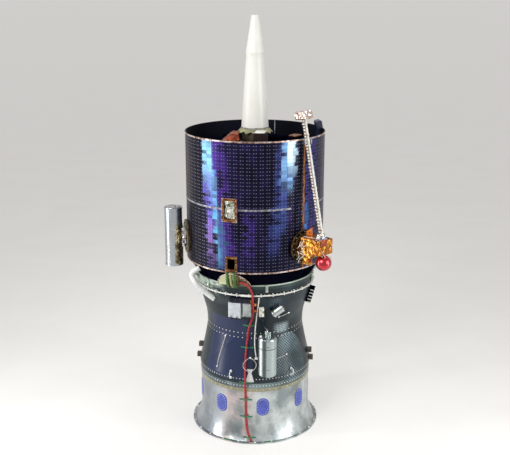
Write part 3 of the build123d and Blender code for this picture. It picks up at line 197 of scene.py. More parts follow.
class Value:
    """A number or a colour in a shader graph, worked on with plain arithmetic."""

    def __init__(self, graph: Graph, socket: Socket) -> None:
        """Keeps the socket and its graph."""
        self.graph = graph
        self.socket = socket

    def __add__(self, other: Value | float) -> Value:
        """The sum."""
        return self.graph.math("ADD", self, other)

    def __sub__(self, other: Value | float) -> Value:
        """The difference."""
        return self.graph.math("SUBTRACT", self, other)

    def __rsub__(self, other: float) -> Value:
        """A plain number less this value."""
        return self.graph.math("SUBTRACT", other, self)

    def __mul__(self, other: Value | float) -> Value:
        """The product."""
        return self.graph.math("MULTIPLY", self, other)

    def __truediv__(self, other: Value | float) -> Value:
        """The quotient."""
        return self.graph.math("DIVIDE", self, other)


class Graph:
    """A material whose nodes are laid down one call at a time."""

    def __init__(self, name: str) -> None:
        """Makes a material of that name with one glossy shader."""
        self.material = bpy.data.materials.new(name)
        self.material.use_nodes = True
        self.tree = self.material.node_tree
        self.shader = self.tree.nodes["Principled BSDF"]
        self.point = self.value("ShaderNodeTexCoord", output="Object")

    def feed(self, target: Socket, value: object) -> None:
        """Links a value to an input, or writes a plain one on it.

        Args:
            target: The input.
            value: A value of the graph, a number, a colour or a vector.
        """
        if isinstance(value, Value):
            self.tree.links.new(value.socket, target)
        elif isinstance(value, tuple) and target.type == "RGBA":
            target.default_value = (*value, 1.0)
        else:
            target.default_value = value

    def value(self, kind: str, inputs: dict | None = None, output: int | str = 0,
              **settings: object) -> Value:
        """Adds a node and picks one of its outputs.

        Args:
            kind: Blender's name of the node type.
            inputs: Values by the name or number of the input.
            output: Name or number of the output.
            settings: Attributes of the node.

        Returns:
            The output.
        """
        made = self.tree.nodes.new(kind)
        for key, setting in settings.items():
            setattr(made, key, setting)
        for key, value in (inputs or {}).items():
            self.feed(made.inputs[key], value)
        return Value(self, made.outputs[output])

    def math(self, operation: str, *values: Value | float, clamp: bool = False) -> Value:
        """One step of arithmetic on up to three values."""
        return self.value("ShaderNodeMath", dict(enumerate(values)), operation=operation,
                          use_clamp=clamp)

    def vector(self, operation: str, *values: Value | Colour) -> Value:
        """One step of arithmetic on up to three vectors."""
        return self.value("ShaderNodeVectorMath", dict(enumerate(values)), operation=operation)

    def absolute(self, value: Value) -> Value:
        """The value without its sign."""
        return self.math("ABSOLUTE", value)

    def waves(self, value: Value, rate: float) -> Value:
        """Sine of a value times a rate."""
        return self.math("SINE", value * rate)

    def noise(self, scale: float, detail: float = 3.0, rough: float = 0.55,
              point: Value | None = None) -> Value:
        """Soft noise at a number of patches per metre.

        Args:
            scale: Patches per metre.
            detail: Number of finer layers.
            rough: Weight of the finer layers.
            point: Where it is read, or the object's point.

        Returns:
            The noise, from 0 to 1.
        """
        inputs = {"Vector": point or self.point, "Scale": scale, "Detail": detail,
                  "Roughness": rough}
        return self.value("ShaderNodeTexNoise", inputs, "Fac")

    def streaks(self, across: float, up: float, detail: float = 3.0) -> Value:
        """Noise with one number of patches per metre on the level and another in height."""
        inputs = {"Vector": self.point, "Scale": (across, across, up)}
        return self.noise(1.0, detail, point=self.value("ShaderNodeMapping", inputs))

    def cells(self, scale: float, feature: str = "F1", point: Value | None = None) -> Value:
        """Distance field of scattered points, a number of them per metre."""
        inputs = {"Vector": point or self.point, "Scale": scale}
        return self.value("ShaderNodeTexVoronoi", inputs, "Distance", feature=feature)

    def ramp(self, value: Value, start: float, end: float, smooth: bool = True) -> Value:
        """A value mapped from start..end to 0..1 and held there.

        Args:
            value: The value.
            start: Where the result is 0.
            end: Where the result is 1.
            smooth: Whether it eases in and out.

        Returns:
            The mapped value.
        """
        inputs = {"Value": value, "From Min": start, "From Max": end}
        kind = "SMOOTHSTEP" if smooth else "LINEAR"
        return self.value("ShaderNodeMapRange", inputs, interpolation_type=kind)

    def inside(self, value: Value, start: float, end: float, edge: float) -> Value:
        """1 between start and end, 0 outside, with soft edges.

        Args:
            value: The value.
            start: Lower end.
            end: Upper end.
            edge: Half the width of each soft edge.

        Returns:
            The share.
        """
        rise = self.ramp(value, start - edge, start + edge)
        fall = self.ramp(value, end - edge, end + edge)
        return self.math("SUBTRACT", rise, fall, clamp=True)

    def blend(self, share: Value | float, first: Value | Colour, second: Value | Colour,
              blend_type: str = "MIX") -> Value:
        """A colour between two, by share."""
        inputs = {0: share, 6: first, 7: second}
        return self.value("ShaderNodeMix", inputs, 2, data_type="RGBA", blend_type=blend_type)

    def bump(self, value: Value, strength: float, distance: float,
             under: Value | None = None) -> Value:
        """Surface normal raised by a value, distance metres deep.

        Args:
            value: Height of the relief.
            strength: How much of it shows.
            distance: Its depth in metres.
            under: A normal that it lies on.

        Returns:
            The normal.
        """
        inputs = {"Height": value, "Strength": strength, "Distance": distance}
        if under is not None:
            inputs["Normal"] = under
        return self.value("ShaderNodeBump", inputs)

    @cached_property
    def axes(self) -> tuple[Value, Value, Value]:
        """The three object coordinates."""
        return tuple(self.value("ShaderNodeSeparateXYZ", {0: self.point}, axis)
                     for axis in range(3))

    @property
    def height(self) -> Value:
        """Height of the point over the floor."""
        return self.axes[2]

    @cached_property
    def turn(self) -> Value:
        """Azimuth of the point, in degrees from -180 to 180."""
        return self.math("ARCTAN2", self.axes[0], self.axes[1] * -1.0) * DEGREES

    @cached_property
    def reach(self) -> Value:
        """Distance of the point from the spin axis."""
        x, y, _ = self.axes
        return self.math("SQRT", x * x + y * y)

    def surface(self, colour: Value, rough: Value | float, metal: float = 0.0,
                normal: Value | None = None, coat: float = 0.0,
                gloss: float = 0.5) -> bpy.types.Material:
        """Sets the shader and hands back the material.

        Args:
            colour: Colour of the surface.
            rough: Roughness.
            metal: Share of metal.
            normal: Normal with its relief.
            coat: Weight of the clear coat.
            gloss: Strength of the plain reflection.

        Returns:
            The material.
        """
        settings = {"Base Color": colour, "Roughness": rough, "Metallic": metal,
                    "Coat Weight": coat, "Coat Roughness": 0.1, "Specular IOR Level": gloss}
        if normal is not None:
            settings["Normal"] = normal
        for name, value in settings.items():
            self.feed(self.shader.inputs[name], value)
        return self.material


def seen_directly(tree: bpy.types.NodeTree) -> Socket:
    """1 for rays from the camera, off metal and through glass, 0 for those that light.

    Args:
        tree: Node tree of a material or of the world.

    Returns:
        The output that holds it.
    """
    path = tree.nodes.new("ShaderNodeLightPath")
    total = path.outputs["Is Camera Ray"]
    for kind in ("Is Glossy Ray", "Is Transmission Ray"):
        either = tree.nodes.new("ShaderNodeMath")
        either.operation = "MAXIMUM"
        tree.links.new(total, either.inputs[0])
        tree.links.new(path.outputs[kind], either.inputs[1])
        total = either.outputs[0]
    return total


# Finishes


def dim(colour: Colour, share: float) -> Colour:
    """A darker colour of the same tint."""
    return tuple(channel * share for channel in colour)


@dataclass(frozen=True)
class Finish:
    """What a piece is made of. Each kind of finish builds its own material."""

    name: str

    def build(self) -> bpy.types.Material:
        """Makes the material."""
        raise NotImplementedError


@dataclass(frozen=True)
class Paint(Finish):
    """Sprayed or moulded surface with slow patches and a fine grain."""

    colour: Colour
    rough: float = 0.45
    metal: float = 0.0
    mottle: float = 0.14
    patches: float = 9.0
    grain: float = 0.12
    coat: float = 0.0
    gloss: float = 0.5
    grain_scale: float = 420.0
    rough_drift: float = 0.16

    def build(self) -> bpy.types.Material:
        """Makes the material."""
        graph = Graph(self.name)
        patch = graph.noise(self.patches, 4.0)
        colour = graph.blend(graph.ramp(patch, 0.25, 0.7),
                             dim(self.colour, 1 - 2 * self.mottle), self.colour)
        rough = patch * self.rough_drift + (self.rough - self.rough_drift / 2)
        grain = graph.bump(graph.noise(self.grain_scale, 2.0), self.grain, 0.0004)
        return graph.surface(colour, rough, self.metal, grain, self.coat, self.gloss)


@dataclass(frozen=True)
class Film(Finish):
    """Metallised film, creased all over, with a darker second tint painted as shade in its
    creases and in slow patches.
    """

    colour: Colour
    crease_shade: Colour
    rough: float = 0.24
    metal: float = 1.0
    creases: float = 38.0
    depth: float = 0.5
    rough_drift: float = 0.2

    def build(self) -> bpy.types.Material:
        """Makes the material."""
        graph = Graph(self.name)
        wander = graph.noise(self.creases * 0.4)
        bend = graph.value("ShaderNodeTexNoise", {"Vector": graph.point, "Scale": 14.0},
                           "Color")
        moved = graph.vector("MULTIPLY_ADD", bend, (0.03, 0.03, 0.03), graph.point)
        facets = graph.cells(self.creases, point=moved)
        edges = graph.cells(self.creases * 2.3, "DISTANCE_TO_EDGE")
        # Painted shade: the darker tint in slow patches and along the crease lines.
        colour = graph.blend(graph.ramp(wander, 0.38, 0.62), self.crease_shade, self.colour)
        colour = graph.blend(graph.ramp(edges, 0.12, 0.0), colour, self.crease_shade)
        rough = wander * self.rough_drift + (self.rough - self.rough_drift / 2)
        creases = graph.bump(facets + edges * 0.35, self.depth, 0.012)
        return graph.surface(colour, rough, self.metal, creases)


@dataclass(frozen=True)
class BareMetal(Finish):
    """Machined or rolled metal with fine marks that run round the craft."""

    colour: Colour
    tarnish: Colour
    rough: float = 0.3
    marks: float = 260.0
    metal: float = 1.0

    def build(self) -> bpy.types.Material:
        """Makes the material."""
        graph = Graph(self.name)
        marks = graph.streaks(6.0, self.marks)
        cloud = graph.noise(2.6, 5.0, 0.6)
        smear = graph.streaks(9.0, 1.2, 4.0)
        stain = graph.ramp(cloud, 0.42, 0.72) * graph.ramp(smear, 0.35, 0.65)
        colour = graph.blend(stain, self.colour, self.tarnish)
        rough = marks * 0.12 + cloud * 0.14 + (self.rough - 0.12)
        return graph.surface(colour, rough, self.metal, graph.bump(marks, 0.16, 0.0006))


@dataclass(frozen=True)
class DentedMetal(Finish):
    """Thin rolled sheet with shallow dents, cloudy, with a painted dark reflection on the left
    and a painted pinkish reflection next to it.
    """

    name: str = "bare_aluminium"
    colour: Colour = (0.60, 0.65, 0.65)
    cloud: Colour = (0.24, 0.27, 0.28)
    pink_reflection: Colour = (0.60, 0.44, 0.43)
    pink_reflection_turn: Span = (-34.0, -4.0)
    shade: Colour = (0.25, 0.27, 0.32)
    shaded_reflection_turn: Span = (-96.0, -34.0)
    tint_share: float = 0.6

    def build(self) -> bpy.types.Material:
        """Makes the material."""
        graph = Graph(self.name)
        clouds = graph.noise(3.6, 5.0, 0.62)
        share = clouds * 0.65 + graph.streaks(7.0, 2.4, 4.0) * 0.35
        colour = graph.blend(graph.ramp(share, 0.40, 0.62), self.cloud, self.colour)
        # Painted reflections by azimuth: pinkish in one stretch, dark to its left.
        pink_reflection = graph.inside(graph.turn, *self.pink_reflection_turn, 9.0) * graph.ramp(clouds, 0.35, 0.6)
        colour = graph.blend(pink_reflection * self.tint_share, colour, self.pink_reflection)
        shade = graph.inside(graph.turn, *self.shaded_reflection_turn, 10.0)
        colour = graph.blend(shade * self.tint_share, colour, self.shade)
        dents = graph.bump(graph.noise(7.0, 2.0), 0.55, 0.012)
        marks = graph.bump(graph.streaks(6.0, 260.0), 0.10, 0.0006, dents)
        return graph.surface(colour, clouds * 0.22 + 0.20, 0.9, marks)


@dataclass(frozen=True)
class TubeMetal(Finish):
    """Polished tank with a painted dark reflection and a painted highlight, each a stripe along
    its axis.
    """

    axis: tuple[float, float]
    colour: Colour = (0.40, 0.47, 0.47)
    dark: Colour = (0.03, 0.04, 0.04)
    bright: Colour = (0.86, 0.90, 0.90)
    dark_reflection_turn: Span = (-30.0, -4.0)
    highlight_turn: Span = (-54.0, -38.0)
    line: float = 1.055

    def build(self) -> bpy.types.Material:
        """Makes the material."""
        graph = Graph(self.name)
        x, y, height = graph.axes
        angle = graph.math("ARCTAN2", x - self.axis[0], self.axis[1] - y) * DEGREES
        wander = angle + graph.noise(9.0) * 9.0
        # Painted dark reflection and painted highlight, as stripes by angle round the axis.
        dark = graph.inside(wander, *self.dark_reflection_turn, 9.0) * 0.85
        colour = graph.blend(dark, self.colour, self.dark)
        colour = graph.blend(graph.inside(wander, *self.highlight_turn, 6.0), colour, self.bright)
        edge = graph.ramp(graph.absolute(height - self.line), 0.0055, 0.003)
        colour = graph.blend(edge * 0.7, colour, self.dark)
        marks = graph.streaks(6.0, 200.0)
        return graph.surface(colour, marks * 0.14 + 0.18, 0.9, graph.bump(marks, 0.14, 0.0005))


@dataclass(frozen=True)
class PaintedStreak:
    """A stretch of the drum whose cells take a painted tint, leaning from top to foot: a painted
    lamp reflection where the tint is bright, a painted shadow where it is near black.

    Top and foot hold its left and right azimuth at the rims, rise its lowest and highest
    height, and least and most how strongly its dullest and brightest cells take the tint.
    """

    top: Span
    foot: Span
    tint: Colour
    rise: Span = (-9.0, 9.0)
    least: float = 0.12
    most: float = 0.85


@dataclass(frozen=True)
class SolarCells(Finish):
    """Flat strings of solar cells round the drum, black paint on the panels' inner face, with
    painted lamp reflections and painted shadows laid over the cells.
    """

    name: str = "solar_cells"
    columns: int = 70
    row: float = 0.034
    deep: Colour = (0.004, 0.004, 0.016)
    bright: Colour = (0.021, 0.013, 0.082)
    seam: Colour = (0.02, 0.02, 0.035)
    tab: Colour = (0.22, 0.22, 0.34)
    left_tab_highlight: Colour = (0.38, 0.37, 0.42)
    lining: Colour = (0.006, 0.007, 0.014)
    drift: float = 3.4
    steady: float = 0.45
    # Painted lamp reflections in violet, blue and cyan; the near-black ones are painted shade and
    # painted shadows.
    painted_streaks: tuple[PaintedStreak, ...] = (
        PaintedStreak((-66.0, -36.0), (-66.0, -28.0), (0.012, 0.008, 0.046)),
        # Painted shade over the left of the drum.
        PaintedStreak((-96.0, -47.0), (-96.0, -43.0), (0.003, 0.003, 0.009), (-9.0, 9.0), 0.6, 0.95),
        PaintedStreak((-46.5, -36.0), (-41.0, -33.0), (0.20, 0.44, 0.60), (2.62, 9.0), 0.35, 1.0),
        PaintedStreak((-40.5, -34.0), (-36.5, -28.0), (0.13, 0.31, 0.60), (2.40, 2.92), 0.25, 1.0),
        PaintedStreak((-47.0, -37.0), (-41.0, -31.0), (0.075, 0.06, 0.32), (2.18, 2.75), 0.1, 0.9),
        PaintedStreak((-38.5, -31.5), (-31.5, -20.5), (0.10, 0.36, 0.60), (1.88, 2.42), 0.2, 1.0),
        PaintedStreak((-46.0, -38.0), (-41.0, -31.0), (0.15, 0.09, 0.30), (1.92, 2.30), 0.0, 0.8),
        PaintedStreak((-35.0, -25.0), (-27.0, -14.0), (0.062, 0.022, 0.24), (1.78, 9.0), 0.1, 0.8),
        PaintedStreak((17.5, 25.5), (10.0, 18.0), (0.030, 0.045, 0.19), (1.95, 9.0), 0.05, 0.7),
        PaintedStreak((23.0, 34.0), (13.0, 26.0), (0.15, 0.31, 0.54), (2.64, 9.0), 0.3, 1.0),
        PaintedStreak((27.5, 34.0), (22.0, 30.0), (0.42, 0.56, 0.62), (2.80, 9.0), 0.4, 1.0),
        PaintedStreak((22.0, 30.0), (12.0, 22.0), (0.050, 0.085, 0.32), (2.20, 2.70), 0.1, 0.7),
        PaintedStreak((43.0, 60.0), (43.0, 60.0), (0.035, 0.03, 0.17)),
        PaintedStreak((40.0, 47.0), (41.0, 48.0), (0.06, 0.22, 0.62), (2.12, 2.42), 0.3, 1.0),
        PaintedStreak((-8.0, 2.0), (-8.0, 0.0), (0.040, 0.018, 0.17), (1.95, 2.40), 0.05, 0.8),
        # Painted shadow of the magnetometer boom.
        PaintedStreak((36.8, 41.8), (29.5, 36.0), (0.002, 0.002, 0.010), (-9.0, 9.0), 0.97, 1.0),
        # Painted shadow below canister a.
        PaintedStreak((14.0, 34.0), (10.0, 30.0), (0.004, 0.004, 0.016), (1.74, 1.98), 0.5, 0.9),
    )

    def build(self) -> bpy.types.Material:
        """Makes the material."""
        graph = Graph(self.name)
        across = graph.turn * (self.columns / 360)
        along = (graph.height - DRUM_LOW) / self.row
        column, row = graph.math("FLOOR", across), graph.math("FLOOR", along)
        cell = graph.value("ShaderNodeCombineXYZ", {0: column, 1: row})
        tint, jitter = (graph.value("ShaderNodeTexWhiteNoise", {0: cell}, output)
                        for output in ("Value", "Color"))
        wander = graph.noise(1.0, 2.0, point=graph.value("ShaderNodeMapping", {
            "Vector": cell, "Scale": (0.37, 0.11, 1.0)}))
        share = graph.ramp(wander, 0.42, 0.68) * (tint * 0.7 + 0.3)
        colour = graph.blend(share, self.deep, self.bright)
        string_turn = (column + 0.5) * (360 / self.columns)
        soft_turn = (tint - 0.5) * self.drift + (
            string_turn * self.steady + graph.turn * (1.0 - self.steady))
        colour = self.add_painted_streaks(graph, colour, soft_turn, tint, wander)
        edge = graph.absolute(along - row - 0.5)
        side = graph.absolute(across - column - 0.5)
        seam = graph.math("MAXIMUM", graph.inside(side, 0.485, 0.6, 0.006),
                          graph.inside(edge, 0.475, 0.6, 0.010))
        tab = graph.inside(side, 0.235, 0.375, 0.02) * graph.inside(edge, 0.42, 0.60, 0.015)
        colour = graph.blend(seam * 0.8, colour, self.seam)
        # Painted highlight: the tabs on the left of the drum are paler, where the lamps catch
        # them.
        tab_with_highlight = graph.blend(graph.ramp(string_turn, -30.0, -46.0), self.tab, self.left_tab_highlight)
        colour = graph.blend(tab, colour, tab_with_highlight)
        outer = graph.ramp(graph.reach, DRUM_RADIUS - 0.004, DRUM_RADIUS - 0.002)
        colour = graph.blend(outer, self.lining, colour)
        rough = tab * 0.3 + (1.0 - outer) * 0.35 + 0.34
        normal = self.flat_strings(graph, string_turn, jitter, outer)
        relief = graph.bump(tab - seam, 0.25, 0.0006, normal)
        return graph.surface(colour, rough, 0.5, relief, gloss=0.15)

    def add_painted_streaks(self, graph: Graph, colour: Value, turn: Value, tint: Value,
                   wander: Value) -> Value:
        """Lays the painted lamp reflections and painted shadows over the cells, whole cells at a
        time.

        Args:
            graph: The material's graph.
            colour: Colour of the cells so far.
            turn: Azimuth, moved a little from cell to cell.
            tint: Chance value of each cell.
            wander: Slow noise over the cells.

        Returns:
            The colour with its sheens.
        """
        share = graph.ramp(graph.height, DRUM_TOP, DRUM_LOW, smooth=False)
        patchy = graph.ramp(tint * 0.8 + wander, 0.48, 1.12)
        for sheen in self.painted_streaks:
            (left, right), (foot_left, foot_right) = sheen.top, sheen.foot
            start = share * (foot_left - left) + left
            width = share * (foot_right - foot_left - right + left) + (right - left)
            held = graph.inside((turn - start) / width, 0.0, 1.0, 0.12) * graph.inside(
                graph.height, *sheen.rise, 0.12)
            amount = held * (patchy * (sheen.most - sheen.least) + sheen.least)
            colour = graph.blend(amount, colour, sheen.tint)
        return colour

    def flat_strings(self, graph: Graph, turn: Value, jitter: Value, outer: Value) -> Value:
        """Normal of the flat string under the point, each cell tipped by a hair.

        Args:
            graph: The material's graph.
            turn: Azimuth of the middle of the string.
            jitter: Chance colour of each cell.
            outer: 1 on the outer face of the panels and 0 inside.

        Returns:
            The normal.
        """
        angle = turn * (1 / DEGREES)
        flat = graph.value("ShaderNodeCombineXYZ", {
            0: graph.math("SINE", angle), 1: graph.math("COSINE", angle) * -1.0})
        shake = graph.vector("SUBTRACT", jitter, (0.5, 0.5, 0.5))
        tipped = graph.vector("MULTIPLY_ADD", shake, (0.045, 0.045, 0.045), flat)
        plain = graph.value("ShaderNodeNewGeometry", output="Normal")
        mixed = graph.value("ShaderNodeMix", {0: outer, 4: plain, 5: tipped}, 1,
                            data_type="VECTOR")
        return graph.vector("NORMALIZE", mixed)


@dataclass(frozen=True)
class Gleam:
    """A patch of the laminate that catches the light, by azimuth and height."""

    turn: Span
    rise: Span
    tint: Colour


@dataclass(frozen=True)
class ShellLaminate(Finish):
    """Dark laminate of the stage, with a smooth blue panel and lighter hatched plies."""

    name: str = "shell_laminate"
    ground: Colour = (0.006, 0.013, 0.018)
    sheen: Colour = (0.018, 0.032, 0.040)
    panel: Colour = (0.018, 0.028, 0.075)
    ply: Colour = (0.24, 0.34, 0.38)
    panel_turn: Span = (-60.0, -3.0)
    panel_rise: Span = (0.65, 1.27)
    hatch_turn: Span = (16.0, 64.0)
    hatch_rise: Span = (0.62, 1.14)
    arc: float = 0.0092
    weave_rate: float = 360.0
    net_rate: float = 170.0
    hatch_rate: float = 200.0
    block_rate: float = 3.1
    gleams: tuple[Gleam, ...] = (
        Gleam((24.0, 41.0), (1.11, 1.205), (0.40, 0.50, 0.53)),
        Gleam((15.0, 26.0), (1.425, 1.505), (0.09, 0.13, 0.16)),
        Gleam((40.0, 66.0), (1.22, 1.42), (0.045, 0.065, 0.072)),
        Gleam((-66.0, -20.0), (1.42, 1.50), (0.06, 0.08, 0.08)),
        Gleam((-80.0, -40.0), (1.50, 1.66), (0.34, 0.46, 0.38)))

    def build(self) -> bpy.types.Material:
        """Makes the material."""
        graph = Graph(self.name)
        along = graph.turn * self.arc
        slant, counter = along + graph.height, along - graph.height
        weave = graph.waves(slant, self.weave_rate) * graph.waves(counter, self.weave_rate)
        net = graph.waves(slant, self.net_rate) * graph.waves(counter, self.net_rate)
        cloud = graph.noise(3.4, 4.0)
        blocks = graph.value("ShaderNodeTexWhiteNoise", {0: graph.value(
            "ShaderNodeCombineXYZ", {
                axis: graph.math("FLOOR", run * self.block_rate)
                for axis, run in enumerate((slant, counter))})})
        shade = blocks * 0.5 + cloud * 0.8
        colour = graph.blend(graph.ramp(shade, 0.5, 1.05), self.ground, self.sheen)
        blue = graph.inside(graph.turn, *self.panel_turn, 0.4) * graph.inside(
            graph.height, *self.panel_rise, 0.004)
        colour = graph.blend(blue, colour, self.panel)
        checks = graph.ramp(net * 0.34 + cloud, 0.28, 0.74)
        for gleam in self.gleams:
            held = graph.inside(graph.turn, *gleam.turn, 4.5) * graph.inside(
                graph.height, *gleam.rise, 0.030)
            colour = graph.blend(held * checks, colour, gleam.tint)
        colour = graph.blend(self.hatch(graph, slant, counter, cloud), colour, self.ply)
        rough = blocks * 0.14 + 0.30 - blue * 0.08
        relief = graph.bump(weave * (1.0 - blue), 0.3, 0.0006)
        return graph.surface(colour, rough, 0.0, relief, gloss=0.3)

    def hatch(self, graph: Graph, slant: Value, counter: Value, cloud: Value) -> Value:
        """Share of the lighter plies: crossed lines in a lens-shaped field.

        Args:
            graph: The material's graph.
            slant: Coordinate along one set of plies.
            counter: Coordinate along the other set.
            cloud: Slow noise that lets the lines come and go.

        Returns:
            The share.
        """
        (left, right), (foot, top) = self.hatch_turn, self.hatch_rise
        off = (graph.turn - (left + right) / 2) / ((right - left) / 2)
        up = (graph.height - ((foot + top) / 2 - 0.05)) / ((top - foot) / 2)
        field = graph.ramp(off * off + up * up, 1.04, 0.98)
        lines = graph.math("MAXIMUM", graph.waves(slant, self.hatch_rate),
                           graph.waves(counter, self.hatch_rate))
        return field * (graph.ramp(lines, 0.35, 0.95)
                        * (graph.ramp(cloud, 0.38, 0.64) * 0.85 + 0.25))


@dataclass(frozen=True)
class BandMetal(Finish):
    """Ring or clamp band: dark below, with painted highlights in pale along its top edge, on its
    tabs and in one gleam.
    """

    name: str = "clamp_band_metal"
    dark: Colour = (0.030, 0.050, 0.052)
    pale: Colour = (0.56, 0.66, 0.56)
    edge: float = 1.650
    gleam_turn: Span = (-82.0, -34.0)

    def build(self) -> bpy.types.Material:
        """Makes the material."""
        graph = Graph(self.name)
        # Painted highlights: the top edge, the tabs and a gleam on the left.
        top = graph.ramp(graph.height, self.edge - 0.001, self.edge + 0.001)
        tab = graph.ramp(graph.reach, SHELL_TOP_RADIUS + 0.0118, SHELL_TOP_RADIUS + 0.0125)
        smear = graph.streaks(7.0, 22.0, 4.0)
        gleam = graph.inside(graph.turn, *self.gleam_turn, 6.0) * graph.ramp(smear, 0.36, 0.56)
        light = graph.math("MAXIMUM", graph.math("MAXIMUM", top, tab), gleam * 0.9)
        pale = graph.blend(graph.ramp(smear, 0.3, 0.7), dim(self.pale, 0.55), self.pale)
        colour = graph.blend(light, self.dark, pale)
        marks = graph.bump(graph.streaks(6.0, 300.0), 0.12, 0.0005)
        return graph.surface(colour, smear * 0.2 + 0.25, 0.55, marks)


@dataclass(frozen=True)
class LitShadedPaint(Finish):
    """Paint that changes from one colour to another at an azimuth: a painted lit side and a
    painted shaded side.
    """

    left: Colour
    right: Colour
    turn: float
    worn: Colour = (0.30, 0.27, 0.16)

    def build(self) -> bpy.types.Material:
        """Makes the material."""
        graph = Graph(self.name)
        cloud = graph.noise(8.0, 4.0)
        edge = graph.ramp(graph.turn + cloud * 6.0, self.turn, self.turn + 5.0)
        colour = graph.blend(edge, self.left, self.right)
        worn = graph.blend(graph.ramp(cloud, 0.4, 0.75), colour, self.worn, "MULTIPLY")
        grain = graph.bump(graph.noise(260.0), 0.15, 0.0004)
        return graph.surface(graph.blend(0.3, colour, worn), 0.36, 0.0, grain)


@dataclass(frozen=True)
class StudioFloor(Finish):
    """Pale floor, paler still to the camera and in the reflections of metal."""

    name: str = "studio_floor"
    colour: Colour = (0.72, 0.71, 0.69)
    lift: float = 0.26
    lift_tint: Colour = (1.0, 0.99, 0.97)

    def build(self) -> bpy.types.Material:
        """Makes the material."""
        graph = Graph(self.name)
        colour = graph.blend(graph.ramp(graph.noise(1.2), 0.3, 0.7), dim(self.colour, 0.96),
                             self.colour)
        seen = Value(graph, seen_directly(graph.tree))
        graph.feed(graph.shader.inputs["Emission Color"], self.lift_tint)
        graph.feed(graph.shader.inputs["Emission Strength"], seen * self.lift)
        return graph.surface(colour, 0.5, 0.0, graph.bump(graph.noise(60.0), 0.02, 0.0004))


@dataclass(frozen=True)
class Sleeve(Finish):
    """Wound tape or braided sleeve, banded along the height."""

    colour: Colour
    band: Colour
    pitch: float = 0.05
    rough: float = 0.5
    one_side: bool = False

    def build(self) -> bpy.types.Material:
        """Makes the material."""
        graph = Graph(self.name)
        wander = graph.noise(22.0, 2.0) * (self.pitch * 0.5)
        share = graph.ramp(graph.waves(graph.height + wander, math.tau / self.pitch), 0.1, 0.4)
        if self.one_side:
            side = around(BOOM_AZIMUTHS["a"])
            shift = graph.axes[0] * side.x + graph.axes[1] * side.y
            share = share * graph.ramp(shift, 0.003, -0.003)
        colour = graph.blend(share, self.colour, self.band)
        braid = graph.bump(graph.cells(520.0), 0.4, 0.0008)
        return graph.surface(colour, self.rough, 0.0, braid)


ALUMINIUM = DentedMetal()
STEEL = BareMetal("bright_steel", (0.72, 0.73, 0.74), (0.52, 0.50, 0.47), 0.24)
BOTTLE_METAL = TubeMetal("bottle_metal", tuple(place(BOTTLE_AZIMUTH, BOTTLE_REACH, 0.0).xy))
SMALL_TUBE = BareMetal("small_tube", (0.50, 0.55, 0.55), (0.24, 0.27, 0.26), 0.24, 90.0)
CAN_FOIL = BareMetal("can_foil", (0.46, 0.50, 0.54), (0.34, 0.33, 0.34), 0.33, 40.0)
HINGE_METAL = BareMetal("hinge_metal", (0.70, 0.73, 0.78), (0.10, 0.13, 0.24), 0.26)
MOTOR_METAL = Paint("motor_case", (0.42, 0.42, 0.40), 0.5)
FASTENER = BareMetal("fastener_steel", (0.80, 0.80, 0.78), (0.62, 0.58, 0.52), 0.3, metal=0.6)
COVER_BLUE = Paint("cover_blue", (0.085, 0.115, 0.50), 0.38, mottle=0.2, patches=24.0)
BEAD_BLUE = Paint("bead_blue", (0.10, 0.14, 0.56), 0.32)
SENSOR_NAVY = Paint("sensor_navy", (0.016, 0.02, 0.05), 0.3)
OLIVE = Paint("olive_primer", (0.34, 0.32, 0.20), 0.36, mottle=0.2)
COLLAR_OLIVE = Paint("collar_olive", (0.36, 0.35, 0.19), 0.4, mottle=0.25, patches=16.0)
COLLAR_DARK = Paint("collar_dark", (0.075, 0.066, 0.040), 0.42, mottle=0.3, patches=30.0)
PALE_OLIVE = Paint("pale_olive", (0.50, 0.47, 0.20), 0.4, mottle=0.32, patches=4.0)
# Umbilical cover: pale painted lit side on the left, dark painted shaded side on the right.
COVER_LIT_SHADED = LitShadedPaint("cover_lit_shaded", (0.74, 0.78, 0.48), (0.16, 0.15, 0.075), -20.0)
PLUG_GREEN = Paint("plug_green", (0.065, 0.150, 0.022), 0.3, mottle=0.3, patches=40.0)
BLACK = Paint("black_paint", (0.0025, 0.003, 0.008), 0.6, gloss=0.0)
DARK_SCREW = BareMetal("dark_screw", (0.10, 0.11, 0.11), (0.05, 0.05, 0.05), 0.35)
DARK_MAROON = Paint("dark_maroon", (0.022, 0.008, 0.010), 0.4)
DARK_BRACKET = Paint("dark_bracket", (0.060, 0.045, 0.034), 0.42, mottle=0.3, patches=40.0)
LIGHT_BOX = Paint("box_light", (0.58, 0.62, 0.66), 0.4)
GREY_BOX = Paint("box_grey", (0.36, 0.39, 0.38), 0.42)
BLUE_GREY = Paint("shelf_blue_grey", (0.008, 0.010, 0.022), 0.4, gloss=0.3)
WHITE_SLEEVE = Paint("white_sleeve", (0.80, 0.80, 0.76), 0.5, mottle=0.1, grain=0.4)
WHITE_DUCT = Film("white_duct", (0.82, 0.82, 0.80), (0.60, 0.62, 0.62), 0.42, 0.1, 24.0, 0.35)
RADOME = Paint("radome_white", (0.75, 0.75, 0.70), 0.36, mottle=0.04, patches=3.0, grain=0.06)
TRIM = Film("rim_tape", (0.76, 0.68, 0.64), (0.22, 0.10, 0.07), 0.3, 0.6, 60.0, 0.2)
MID_TRIM = Film("band_tape", (0.46, 0.46, 0.47), (0.14, 0.13, 0.17), 0.4, 0.4, 90.0, 0.2)
LENS_GLASS = Paint("lens_glass", (0.010, 0.012, 0.020), 0.08, mottle=0.05, coat=1.0)
BALL_RED = Paint("ball_red", (0.62, 0.012, 0.030), 0.20, 0.85, 0.15, 6.0, 0.02, 1.0)
CABLE_RED = Sleeve("cable_red", (0.40, 0.022, 0.024), (0.26, 0.010, 0.014), 0.035)
BOOM_WHITE = Sleeve("boom_tubes", (0.74, 0.72, 0.66), (0.16, 0.07, 0.03), 0.028, one_side=True)
